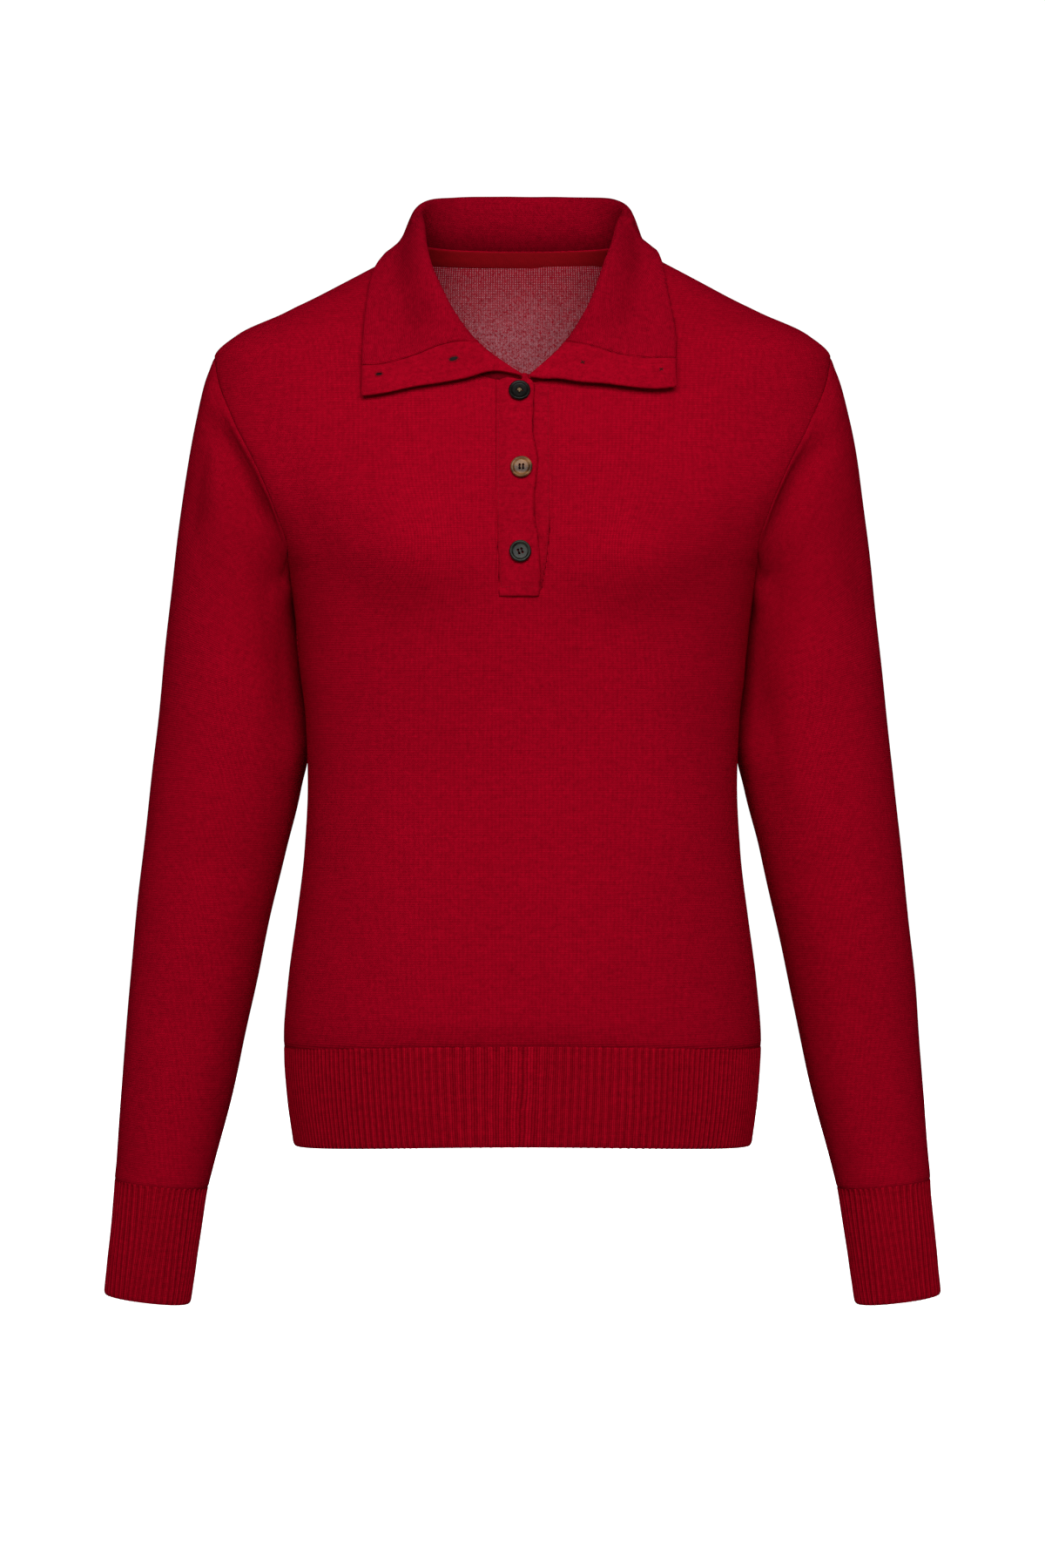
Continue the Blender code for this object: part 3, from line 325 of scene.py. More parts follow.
def torso_field(points):
    """1 on the torso's surface, less inside and more outside."""
    x, y, z = np.moveaxis(points, -1, 0)
    from_ridge = y - torso["ridge"](z)
    deep_by = np.where(from_ridge < 0, torso_depth(x, z, -1), torso_depth(x, z, 1))
    power = torso["squareness"](z)
    across = (np.abs(x) / torso["half_width"](z)) ** power
    return (across + (np.abs(from_ridge) / deep_by) ** power) ** (1 / power)


def torso_gradient(points):
    steps = np.eye(3) * GRADIENT_STEP
    return np.stack([torso_field(points + s) - torso_field(points - s) for s in steps], axis=-1)


def torso_normal(points):
    return unit(torso_gradient(points))


def torso_distance(points):
    return (torso_field(points) - 1) / np.linalg.norm(torso_gradient(points), axis=-1)


def pushed_out(points, clearance):
    """The points, moved straight out until they clear the torso."""
    for _ in range(PUSH_ROUNDS):
        short = np.maximum(clearance - torso_distance(points), 0)
        points = raised(points, torso_normal(points), short)
    return points


def on_torso(x, height, facing, offset=0.0):
    points = stacked(x, torso_y(x, height, facing), height)
    return raised(points, torso_normal(points), offset)


def panel_edge_x(height, facing):
    seam = armhole["front" if facing < 0 else "back"](height)
    return np.where(height <= UNDERARM_HEIGHT, torso["half_width"](height), seam)


def neckline_curve(angle):
    """Points of the neckline: 0 at centre front, 90 at the shoulder seam, 180 at centre back."""
    turn = np.radians(angle)
    front = np.asarray(angle) <= 90
    power = float(torso["squareness"](NECK_SIDE_HEIGHT))
    x = NECK_HALF_WIDTH * np.where(front, np.sin(turn), np.abs(np.sin(turn)) ** (2 / power))
    rise = BACK_NECK_RISE * (1 - (x / NECK_HALF_WIDTH) ** 2)
    height = NECK_SIDE_HEIGHT + np.where(front, -FRONT_NECK_DROP * np.cos(turn), rise)
    y = np.where(front, torso_y(x, height, -1), torso_y(x, height, 1))
    return stacked(x, y, height)


def placket_seam_x(height, side):
    if side < 0:
        return PLACKET_RIGHT_SEAM + placket_taper["right"](height)
    return PLACKET_LEFT_SEAM - placket_taper["left"](height)


def hem_rise(x, height, facing):
    """How far the front's lower edge is drawn up in the middle."""
    if facing > 0:
        return 0.0
    fade = np.clip((HEM_RISE_START_HEIGHT - height) / HEM_RISE_FADE, 0, 1)
    return HEM_FRONT_RISE * fade * np.maximum(0.0, 1 - (np.abs(x) / torso["half_width"](height)) ** 2)


# Cloth: a wall between two grids of points


def add_mesh(name, points, faces, materials, uv=None, face_materials=None):
    """A new object at the origin from points in millimetres, with a place in the knit for each corner."""
    mesh = bpy.data.meshes.new(name)
    faces = [np.asarray(f) for f in faces]
    sizes = np.concatenate([np.full(len(f), f.shape[1]) for f in faces])
    corners = np.concatenate([f.ravel() for f in faces])
    starts = np.concatenate([[0], np.cumsum(sizes)[:-1]])
    mesh.vertices.add(len(points))
    mesh.vertices.foreach_set("co", (np.asarray(points, float) * MM).ravel())
    mesh.loops.add(len(corners))
    mesh.loops.foreach_set("vertex_index", corners.astype(np.int32))
    mesh.polygons.add(len(sizes))
    mesh.polygons.foreach_set("loop_start", starts.astype(np.int32))
    mesh.polygons.foreach_set("loop_total", sizes.astype(np.int32))
    for m in materials:
        mesh.materials.append(m)
    if face_materials is not None:
        slots = np.concatenate(face_materials).astype(np.int32)
        mesh.polygons.foreach_set("material_index", slots)
    mesh.update(calc_edges=True)
    if uv is not None:
        places = np.concatenate([u.reshape(-1, 2) for u in uv]) * MM
        mesh.uv_layers.new(name="knit").data.foreach_set("uv", places.astype(np.float32).ravel())
    mesh.shade_smooth()
    obj = bpy.data.objects.new(name, mesh)
    bpy.context.scene.collection.objects.link(obj)
    return obj


def cloth(name, outer, inner, uv, materials, closed=False, keep=None, bulge=0.35):
    """A thin shell between an outer and an inner grid, with rounded rims along all its free edges."""
    rows, columns = outer.shape[:2]
    count = rows * columns
    index = np.arange(count).reshape(rows, columns)
    right = np.roll(index, -1, axis=1) if closed else index[:, 1:]
    left = index if closed else index[:, :-1]
    quads = np.stack([left[:-1], right[:-1], right[1:], left[1:]], axis=-1)
    uv_left, uv_right = uv[:, :-1], uv[:, 1:]
    quad_uv = np.stack([uv_left[:-1], uv_right[:-1], uv_right[1:], uv_left[1:]], axis=2)
    if keep is not None:
        quads, quad_uv = quads[keep], quad_uv[keep]
    quads, quad_uv = quads.reshape(-1, 4), quad_uv.reshape(-1, 4, 2)
    outer, inner = outer.reshape(-1, 3), inner.reshape(-1, 3)
    # The outer faces look away from the inner grid
    a, b, d = outer[quads[:, 0]], outer[quads[:, 1]], outer[quads[:, 3]]
    if (np.cross(b - a, d - a) * (outer - inner)[quads[:, 0]]).sum() < 0:
        quads, quad_uv = quads[:, ::-1], quad_uv[:, ::-1]
    # A free edge is one whose other side has no face
    starts, ends = quads.ravel(), np.roll(quads, -1, axis=1).ravel()
    edge_uv = np.stack([quad_uv.reshape(-1, 2), np.roll(quad_uv, -1, axis=1).reshape(-1, 2)], axis=1)
    free = ~np.isin(starts * count + ends, ends * count + starts)
    starts, ends, edge_uv = starts[free], ends[free], edge_uv[free]
    # The rim's middle stands a little proud, so that the cut edge looks soft
    edge = np.unique(np.concatenate([starts, ends]))
    outward = np.zeros((count, 3))
    wall = np.linalg.norm(outer - inner, axis=1, keepdims=True)
    side = unit(np.cross(outer[ends] - outer[starts], (outer - inner)[starts]))
    np.add.at(outward, starts, side)
    np.add.at(outward, ends, side)
    middle = (outer + inner)[edge] / 2 + (unit(outward) * wall * bulge)[edge]
    place_in = np.zeros(count, int)
    place_in[edge] = 2 * count + np.arange(len(edge))
    rims = [
        np.stack([ends, starts, place_in[starts], place_in[ends]], axis=1),
        np.stack([place_in[ends], place_in[starts], starts + count, ends + count], axis=1),
    ]
    rim_uv = np.stack([edge_uv[:, 1], edge_uv[:, 0], edge_uv[:, 0], edge_uv[:, 1]], axis=1)
    points = np.concatenate([outer, inner, middle])
    faces = [quads, quads[:, ::-1] + count] + rims
    uvs = [quad_uv, quad_uv[:, ::-1], rim_uv, rim_uv]
    slots = [np.full(len(f), slot) for f, slot in zip(faces, (0, len(materials) - 1, 0, 0))]
    used = np.zeros(len(points), bool)
    used[np.concatenate([f.ravel() for f in faces])] = True
    renumber = np.cumsum(used) - 1
    return add_mesh(name, points[used], [renumber[f] for f in faces], materials, uvs, slots)


def run_lengths(points, axis):
    """Length along a grid from its first row or column to each point."""
    steps = np.linalg.norm(np.diff(points, axis=axis), axis=-1)
    total = np.cumsum(steps, axis=axis)
    return np.concatenate([np.zeros_like(np.take(total, [0], axis=axis)), total], axis=axis)


# Soft folds: each is a line across the cloth as seen from the front, in millimetres, with a height that is
# negative for a trough, a width, and how far from its ends it fades out

FOLD_STEPS = 60
FOLD_SMOOTHINGS = 6


def smoothed(values, rounds):
    """Values along the second axis, each drawn towards its neighbours; the ends stay."""
    for _ in range(rounds):
        values[:, 1:-1] = (values[:, :-2] + 2 * values[:, 1:-1] + values[:, 2:]) / 4
    return values


def fold_line(points):
    points = np.array(points, float)
    runs = run_lengths(points, 0)
    at = np.linspace(0, runs[-1], FOLD_STEPS)
    return smoothed(np.stack([np.interp(at, runs, p) for p in points.T]), FOLD_SMOOTHINGS).T


def fold_heights(x, z, folds):
    """Sum of the folds at points seen from the front."""
    total = np.zeros(np.shape(x))
    for points, height, width, fade in folds:
        line = fold_line(points)
        middle = line.mean(axis=0)
        reach = np.abs(line - middle).max() + 3 * width
        close = (np.abs(x - middle[0]) < reach) & (np.abs(z - middle[1]) < reach)
        if not close.any():
            continue
        px, pz = x[close], z[close]
        gaps = np.hypot(px[:, None] - line[:, 0], pz[:, None] - line[:, 1])
        share = gaps.argmin(axis=1) / (len(line) - 1)
        ends = smooth_step(0, fade, share) * smooth_step(0, fade, 1 - share)
        total[close] += height * bell(gaps.min(axis=1), 0, width) * ends
    return total


def mounds(x, z, table):
    """Sum of soft round hills and hollows: middle, height and reach across and up, as seen from the front."""
    total = np.zeros(np.shape(x))
    for middle_x, middle_z, height, reach_x, reach_z in table:
        total += height * bell(x, middle_x, reach_x) * bell(z, middle_z, reach_z)
    return total


RIPPLE_WAVES = 6


def knit_places(points):
    """Place in the knit of each point of a grid: along its rows and up its columns."""
    return np.stack([run_lengths(points, 1), run_lengths(points, 0)], axis=-1)


# Slow unevenness of each piece: seed, wave length and height
RIPPLES = {
    "front": (3, 120, 0.7),
    "back": (5, 120, 0.7),
    "hem": (8, 90, 0.5),
    "sleeve_right": (10, 90, 0.7),
    "sleeve_left": (12, 90, 0.7),
    "cuff": (21, 60, 0.4),
    "collar": (31, 45, 0.35),
    "placket": (41, 30, 0.3),
}


def ripple(x, z, kind):
    """A slow unevenness, so that no surface is a perfect one."""
    seed, scale, height = RIPPLES[kind]
    rng = np.random.default_rng(seed)
    total = np.zeros(np.shape(x))
    for _ in range(RIPPLE_WAVES):
        turn, phase = rng.uniform(0, 2 * math.pi), rng.uniform(0, 2 * math.pi)
        size = scale * rng.uniform(0.6, 1.6)
        total += np.sin((x * math.cos(turn) + z * math.sin(turn)) * 2 * math.pi / size + phase)
    return total * height / RIPPLE_WAVES


# Panels

# How many columns and rows the panels' grids have
PANEL_COLUMNS = 92
LOWER_ROWS = 104
SLIT_ROWS = 27
YOKE_STEPS = 56


def spread_x(share, height, inner_x, facing):
    """How far out a share of the panel lies, evenly round the torso's section."""
    power = torso["squareness"](height)
    half_width = torso["half_width"](height)
    start = np.arcsin(np.clip((inner_x / half_width) ** (power / 2), 0, 1))
    end = np.arcsin(np.clip((panel_edge_x(height, facing) / half_width) ** (power / 2), 0, 1))
    return half_width * np.sin(lerp(start, end, share)) ** (2 / power)


SLIT_COLUMNS = 11


def panel_side(facing, side, inner_x):
    """One half of a panel from its middle to its side: x and height in rows from the rib to the neck."""
    share = np.linspace(0, 1, PANEL_COLUMNS + 1)
    lower = np.linspace(RIB_TOP_HEIGHT + SEAM_GAP, PLACKET_BOTTOM_HEIGHT, LOWER_ROWS)
    slit = np.linspace(PLACKET_BOTTOM_HEIGHT, YOKE_START_HEIGHT, SLIT_ROWS)[1:]
    heights = np.concatenate([lower, slit])[:, None]
    seam = placket_seam_x(heights, side) * side if facing < 0 else 0 * heights
    body_x = spread_x(share[None], heights, seam, facing)
    # Above the armhole's start the rows bend towards the neckline and the shoulder seam
    inner_angle = math.degrees(math.asin(inner_x / NECK_HALF_WIDTH)) if facing < 0 else 0.0
    angle = lerp(inner_angle, 90, np.minimum(share / NECK_SHARE, 1))
    neck = neckline_curve(angle if facing < 0 else 180 - angle)
    shoulder = np.clip((share - NECK_SHARE) / (1 - NECK_SHARE), 0, 1)
    by_neck = share <= NECK_SHARE
    top_height = np.where(by_neck, neck[:, 2], lerp(NECK_SIDE_HEIGHT, SHOULDER_TIP_HEIGHT, shoulder))
    top_x = np.where(by_neck, neck[:, 0], torso["half_width"](top_height))
    up = 1 - (1 - np.linspace(0, 1, YOKE_STEPS + 1)[1:, None]) ** YOKE_ROW_POWER
    edge_x = panel_edge_x(lerp(YOKE_START_HEIGHT, SHOULDER_TIP_HEIGHT, up), facing)
    first = (body_x[-1] - inner_x) / (body_x[-1, -1] - inner_x)
    final = (top_x - inner_x) / (float(torso["half_width"](SHOULDER_TIP_HEIGHT)) - inner_x)
    yoke_x = inner_x + (edge_x - inner_x) * lerp(first[None], final[None], up)
    x = np.concatenate([body_x, yoke_x])
    yoke_height = lerp(YOKE_START_HEIGHT, top_height[None], up)
    return x * side, np.concatenate([np.broadcast_to(heights, body_x.shape), yoke_height])


def around(points):
    """Wale and course places on the torso: across from the middle, and up from the hem."""
    x, y, z = np.moveaxis(points, -1, 0)
    levels = np.linspace(HEM_HEIGHT, NECK_SIDE_HEIGHT, 120)
    shares = np.sin(np.linspace(0, math.pi / 2, 160))
    half = torso["half_width"](levels)[:, None] * shares
    row = (np.clip(z, levels[0], levels[-1]) - levels[0]) / (levels[-1] - levels[0]) * (len(levels) - 1)
    part = np.clip(np.abs(x) / torso["half_width"](z), 0, 1)
    column = np.arcsin(part) / (math.pi / 2) * (len(shares) - 1)
    r0 = np.minimum(row.astype(int), len(levels) - 2)
    c0 = np.minimum(column.astype(int), len(shares) - 2)
    tr, tc = row - r0, column - c0
    found = []
    for facing in (-1, 1):
        t = run_lengths(on_torso(half, np.broadcast_to(levels[:, None], half.shape), facing), 1)
        found.append(lerp(lerp(t[r0, c0], t[r0, c0 + 1], tc), lerp(t[r0 + 1, c0], t[r0 + 1, c0 + 1], tc), tr))
    across = np.where(y < torso["ridge"](z), *found)
    return np.stack([np.sign(x) * across, z - HEM_HEIGHT], axis=-1)


def edge_roll(points, reach, drop, rows=True):
    """How far cloth dips next to its seams: nothing further than `reach` from them, `drop` at them."""
    across, up = run_lengths(points, 1), run_lengths(points, 0)
    gaps = [across, across[:, -1:] - across]
    if rows:
        gaps += [up, up[-1:] - up]
    return -drop * near(np.minimum.reduce(gaps), reach)


# Panels: how deep and how far the cloth dips at its edges, at the rib and at the placket's slit
PANEL_EDGE_DROP, PANEL_EDGE_REACH = 0.35, 2.0
RIB_SEAM_DROP, RIB_SEAM_REACH = 0.4, 2.2
SLIT_DROP, SLIT_REACH = 0.06, 0.9
# How far from the neck, the rib and the sides the panels' folds and hills fade out
NECK_FADE = 6
RIB_FADE = (-1, 16)
SIDE_FADE, SIDE_FADE_X = 14, 160


def make_panel(name, facing, materials, folds, hills):
    inner_x = (-PLACKET_RIGHT_SEAM, PLACKET_LEFT_SEAM) if facing < 0 else (0.0, 0.0)
    right, left = panel_side(facing, -1, inner_x[0]), panel_side(facing, 1, inner_x[1])
    if facing < 0:
        fill = np.linspace(0, 1, SLIT_COLUMNS + 1)[1:-1]
        parts = [(r[:, ::-1], lerp(r[:, :1], l[:, :1], fill), l) for r, l in zip(right, left)]
    else:
        parts = [(r[:, ::-1], l[:, 1:]) for r, l in zip(right, left)]
    x, height = (np.concatenate(part, axis=1) for part in parts)
    points = on_torso(x, height, facing)
    at_side = np.abs(x) >= torso["half_width"](height) - 0.01
    side_seam = torso["ridge"](height) + facing * SEAM_GAP / 2
    points[..., 1] = np.where(at_side, side_seam, points[..., 1])
    points[..., 2] += hem_rise(x, height, facing)
    uv = around(points)
    normals = torso_normal(points)
    # Its lower edge thins out and lies over the top of the rib
    points[0, :, 2] -= RIB_LAP
    up = run_lengths(points, 0)
    relief = edge_roll(points, PANEL_EDGE_REACH, PANEL_EDGE_DROP) * smooth_step(0, 2.4, up)
    relief -= RIB_SEAM_DROP * near(up, RIB_SEAM_REACH)
    if facing < 0:
        # The panel is turned in along the placket's two seams
        gap = np.minimum.reduce([np.abs(x - placket_seam_x(height, side)) for side in (-1, 1)])
        turned_in = np.minimum(relief, -SLIT_DROP * near(gap, SLIT_REACH))
        relief = np.where(height > PLACKET_BOTTOM_HEIGHT, turned_in, relief)
    below_neck = smooth_step(0, NECK_FADE, up[-1:] - up)
    relief += fold_heights(x, height, folds) * below_neck
    relief += mounds(x, height, hills) * smooth_step(*RIB_FADE, up)
    uneven = ripple(x, height, "front" if facing < 0 else "back")
    relief += uneven * below_neck * smooth_step(0, SIDE_FADE, SIDE_FADE_X - np.abs(x))
    outer = raised(points, normals, relief)
    keep = None
    if facing < 0:
        # The slit is left open down to the placket's bottom
        keep = np.ones((len(x) - 1, x.shape[1] - 1), bool)
        start = int((height[:, PANEL_COLUMNS] < PLACKET_BOTTOM_HEIGHT - 0.01).sum())
        keep[start:, PANEL_COLUMNS : PANEL_COLUMNS + SLIT_COLUMNS] = False
    return cloth(name, outer, outer - normals * WALL, uv, materials, keep=keep)


# Where the ribs rise past their seam, how far it draws them in, and how far the inside tucks in at their edge
RIB_RISE, RIB_TOP_REACH, RIB_EDGE_TUCK = (-2.5, 5), 1.8, 0.8
HEM_RIB_HEIGHT, CUFF_RIB_HEIGHT = 1.15, 1.2
# How the hem's ribs wander across it, how they open and close up it, and how the hem turns in at its sides
HEM_WANDER, HEM_WANDER_TURNS = 0.35, 37.0
HEM_OPENING, HEM_OPENING_TURNS, HEM_OPENING_HEIGHT = 0.25, 21, 65
HEM_END_REACH, HEM_END_DROP = 1.6, 0.35


def rib_relief(turns):
    """Height of a rib from 0 at its crest to -1 in the valley, at a count of ribs."""
    return -((0.5 - 0.5 * np.cos(2 * math.pi * turns)) ** RIB_SHARPNESS)


def ribbed(name, points, normals, ribs, height, low, high, relief, materials, closed=False):
    """Ribbed cloth whose ribs fade into its seam, with both edges drawn in; `relief` is added to them."""
    relief = relief + rib_relief(ribs) * height * smooth_step(*RIB_RISE, high)
    relief = relief - RIB_EDGE_SINK * (near(low, RIB_EDGE_REACH) + near(high, RIB_TOP_REACH))
    outer = raised(points, normals, relief)
    tuck = RIB_EDGE_TUCK * near(low, RIB_EDGE_REACH)
    inner = raised(points, normals, tuck - WALL - RIB_DEPTH / 2 + 0 * relief)
    if closed:
        ribs = np.concatenate([ribs, ribs[:, :1] + CUFF_RIBS], axis=1)
    uv = np.stack(np.broadcast_arrays(ribs * RIB_PITCH, low), axis=-1)
    return cloth(name, outer, inner, uv, materials, closed=closed)


def make_hem(name, facing, materials):
    share = np.linspace(0, 1, HEM_RIBS * STEPS_PER_RIB + 1)
    heights = np.concatenate([
        np.linspace(HEM_HEIGHT, HEM_HEIGHT + 4, 4),
        np.linspace(HEM_HEIGHT + 4, RIB_TOP_HEIGHT - 4, 15)[1:],
        np.linspace(RIB_TOP_HEIGHT - 4, RIB_TOP_HEIGHT, 5)[1:],
    ])
    turn = np.radians(-90 + 180 * share)[None]
    h = np.broadcast_to(heights[:, None], (len(heights), len(share)))
    x = torso["half_width"](h) * np.sign(turn) * np.abs(np.sin(turn)) ** (2 / torso["squareness"](h))
    points = on_torso(x, h, facing)
    ends = (share == 0) | (share == 1)
    points[:, ends, 1] = (torso["ridge"](h) + facing * SEAM_GAP / 2)[:, ends]
    normals = torso_normal(points)
    low, high = h - HEM_HEIGHT, RIB_TOP_HEIGHT - h
    # The ribs wander a little and open and close across the hem
    wander = HEM_WANDER * np.sin(share * HEM_WANDER_TURNS + facing) * np.sin(math.pi * share)
    opening = HEM_OPENING * np.sin(share * HEM_OPENING_TURNS)[None] * (low / HEM_OPENING_HEIGHT)
    ribs = (share * HEM_RIBS + wander)[None] + opening
    relief = edge_roll(points, HEM_END_REACH, HEM_END_DROP, rows=False)
    relief += ripple(x, h, "hem") * smooth_step(0, 20, high)
    points[..., 2] += hem_rise(x, h, facing)
    return ribbed(name, points, normals, ribs, HEM_RIB_HEIGHT, low, high, relief, materials)


# Sleeves


def sleeve_section(station, angle, side):
    """Points and middle of the sleeve's section: angle 0 is on the outside, 90 in front, 180 by the body."""
    value = {name: table(station) for name, table in sleeve.items()}
    outer = stacked(value["outer_x"], value["middle_y"], value["outer_z"])
    inner = stacked(value["inner_x"], value["middle_y"], value["inner_z"])
    middle, across = (outer + inner) / 2, (outer - inner) / 2
    power = 2 / SLEEVE_SQUARENESS
    cosine, sine = np.cos(np.radians(angle)), np.sin(np.radians(angle))
    along = np.sign(cosine) * np.abs(cosine) ** power
    deep = -np.sign(sine) * np.abs(sine) ** power
    points = middle + across * along[..., None] + stacked(0, value["depth"] * deep, 0)
    return points * np.array([side, 1, 1]), middle * np.array([side, 1, 1])


def armhole_ring(side):
    """The armhole's seam, finely, with how far round each point lies and its number on the solid's ring."""
    yoke = 1 - (1 - np.arange(YOKE_ROWS) / YOKE_ROWS) ** YOKE_ROW_POWER
    rows = list(lerp(YOKE_START_HEIGHT, SHOULDER_TIP_HEIGHT, yoke))
    knots = np.array([UNDERARM_HEIGHT, *ARMHOLE_HEIGHTS, *rows, SHOULDER_TIP_HEIGHT])
    between = np.linspace(0, 1, 12, endpoint=False)
    heights = lerp(knots[:-1, None], knots[1:, None], between).ravel()
    top = len(knots) - 1
    numbers = (np.arange(top)[:, None] + between).ravel()
    front = on_torso(side * armhole["front"](heights), heights, -1)
    back = on_torso(side * armhole["back"](heights), heights, 1)
    tip, low = (
        [side * float(torso["half_width"](height)), float(torso["ridge"](height)), height]
        for height in (SHOULDER_TIP_HEIGHT, UNDERARM_HEIGHT)
    )
    ring = np.concatenate([[tip], front[:0:-1], [low], back[1:], [tip]])
    order = np.concatenate([[0], top - numbers[:0:-1], [top], top + numbers[1:], [2 * top]])
    lengths = run_lengths(ring, 0)
    return ring, lengths / lengths[-1], order / (2 * top)


# Where the sleeve fills out towards the body: height, reach and how much
SLEEVE_FILL = ((-238, 42, 2.6), (-215, 14, 2.6), (-322, 17, 2.4))
SLEEVE_AROUND = 150
SLEEVE_ROWS = 150


def ring_normals(points):
    """Normals of a grid whose rows close into rings."""
    along = np.roll(points, -1, axis=1) - np.roll(points, 1, axis=1)
    return unit(np.cross(along, np.gradient(points, axis=0)))


def sleeve_points(station, share, side):
    """Points of the sleeve at shares round it, 0 at the shoulder tip, down the front and up the back."""
    seam, lengths, numbers = armhole_ring(side)
    number = np.interp(share, lengths, numbers)
    even = np.minimum(station / SLEEVE_EVEN_STATION, 1.0)
    fade = np.maximum(0.0, 1 - station / ARMHOLE_FADE_STATIONS) ** 2
    ring = np.stack([np.interp(share, lengths, column) for column in seam.T], axis=-1)
    start, _ = sleeve_section(0 * station, 360 * share, side)
    points, middle = sleeve_section(station, 360 * lerp(share, number, even), side)
    return points + fade[..., None] * (ring - start), middle


def sleeve_uv(points, share):
    """Wale places run round from the outside, course places up from the wrist."""
    closed = np.concatenate([points, points[:, :1]], axis=1)
    across = run_lengths(closed, 1)
    start = np.argmin(np.abs(np.append(share, share[0] + 1) - 1.0))
    level = run_lengths(closed, 0).mean(axis=1, keepdims=True)
    return np.stack(np.broadcast_arrays(across - across[:, start : start + 1], level[-1] - level), axis=-1)


# How the sleeve dips at the armhole and at the cuff, and where its folds fade out towards them
ARMHOLE_DROP, ARMHOLE_REACH = 0.35, 2.4
CUFF_SEAM_DROP, CUFF_SEAM_REACH = 0.5, 2.2
ARMHOLE_FADE = (0.5, 9)
CUFF_FADE = (0, 12)
SLEEVE_ROW_POWER = 1.35


def make_sleeve(name, side, materials, folds):
    # Round from the underarm, where the sleeve's own seam is
    share = 0.5 + np.arange(SLEEVE_AROUND) / SLEEVE_AROUND
    u = np.linspace(0, 1, SLEEVE_ROWS)[:, None]
    wrapped = (share % 1.0)[None] + 0 * u
    station = CUFF_START_STATION * (0.5 * u + 0.5 * u**SLEEVE_ROW_POWER) + 0 * wrapped
    points, middle = sleeve_points(station, wrapped, side)
    points[-1] -= unit(points[-2] - points[-1]) * CUFF_LAP
    normals = ring_normals(points)
    outward = (normals * (points - middle)).sum(axis=-1, keepdims=True)
    normals = np.where(outward < 0, -normals, normals)
    x, _, z = np.moveaxis(points, -1, 0)
    up = run_lengths(points, 0)
    down = up[-1:] - up
    relief = -ARMHOLE_DROP * near(up, ARMHOLE_REACH) - CUFF_SEAM_DROP * near(down, CUFF_SEAM_REACH)
    ends = smooth_step(*ARMHOLE_FADE, up) * smooth_step(*CUFF_FADE, down)
    for table, facing in zip(folds, (-1, 1)):
        relief += fold_heights(x, z, table) * smooth_step(0.05, 0.6, facing * normals[..., 1]) * ends
    relief += ripple(x, z, "sleeve_left" if side > 0 else "sleeve_right") * ends
    # Next to the body the sleeve fills out until the two touch
    towards = smooth_step(0.55, 0.95, -side * normals[..., 0])
    for height, reach, fill in SLEEVE_FILL:
        relief += fill * bell(z, height, reach) * towards
    outer = raised(points, normals, relief)
    return cloth(name, outer, outer - normals * WALL, sleeve_uv(points, share), materials, closed=True)


# How far the cuff's ribs wander, and how fast: in turns round it and in millimetres down it
CUFF_WANDER, CUFF_WANDER_TURNS, CUFF_WANDER_DROP = 0.22, 5, 30


def make_cuff(name, side, materials):
    fine = CUFF_RIBS * STEPS_PER_RIB
    places = np.arange(fine)[None]
    rows = [np.linspace(0, 3, 4), np.linspace(3, 75, 20)[1:], np.linspace(75, CUFF_DROP, 5)[1:]]
    drop = np.concatenate(rows)[:, None]
    angle = 360 * ((0.5 + places / fine) % 1.0) + 0 * drop
    station = np.interp(drop / CUFF_DROP, (0, 1), (CUFF_START_STATION, CUFF_END_STATION)) + 0 * angle
    points, middle = sleeve_section(station, angle, side)
    wander = np.sin(places * 2 * math.pi / fine * CUFF_WANDER_TURNS + drop / CUFF_WANDER_DROP)
    ribs = places / STEPS_PER_RIB + CUFF_WANDER * wander
    relief = ripple(points[..., 0], points[..., 2], "cuff") * smooth_step(0, 15, drop)
    normals = unit(points - middle)
    low = CUFF_DROP - drop
    return ribbed(name, points, normals, ribs, CUFF_RIB_HEIGHT, low, drop, relief, materials, closed=True)


# Collar


def collar_rows():
    """All the collar's sections, from the wearer's right front edge round the back to the left one."""
    back_left = tuple((row[0], -row[1], *row[2:4], -row[4], *row[5:]) for row in COLLAR_BACK[-2::-1])
    return RIGHT_FLAP + COLLAR_BACK + back_left + LEFT_FLAP[::-1]


COLLAR_TABLE = np.array(collar_rows(), float)
LAST_STATION = len(COLLAR_TABLE) - 1


def collar_value(name, station):
    """A column of the collar's rows at fractional row numbers, on a Catmull-Rom curve."""
    rows = COLLAR_TABLE[:, COLLAR_COLUMNS.index(name)]
    i = np.minimum(np.asarray(station, float).astype(int), len(rows) - 2)
    t = station - i
    padded_rows = np.concatenate([[2 * rows[0] - rows[1]], rows, [2 * rows[-1] - rows[-2]]])
    p0, p1, p2, p3 = (padded_rows[i + k] for k in range(4))
    return 0.5 * (
        2 * p1 + (p2 - p0) * t + (2 * p0 - 5 * p1 + 4 * p2 - p3) * t**2 + (3 * p1 - p0 - 3 * p2 + p3) * t**3
    )


def flap_wave(station, along):
    total = 0 * along
    for side, from_edge in (("right", station), ("left", LAST_STATION - station)):
        here = station < LAST_STATION / 2 if side == "right" else station >= LAST_STATION / 2
        edge, seam = wave[side + "_edge"](along), wave[side + "_seam"](along)
        fade = np.maximum(0.0, 1 - (from_edge - BAND_STATION) / (WAVE_FADE_STATION - BAND_STATION))
        value = np.where(from_edge <= BAND_STATION, lerp(edge, seam, from_edge / BAND_STATION), seam * fade)
        total = total + np.where(here, value, 0)
    return total


def three(names, station):
    return np.stack([collar_value(name, station) for name in names], axis=-1)


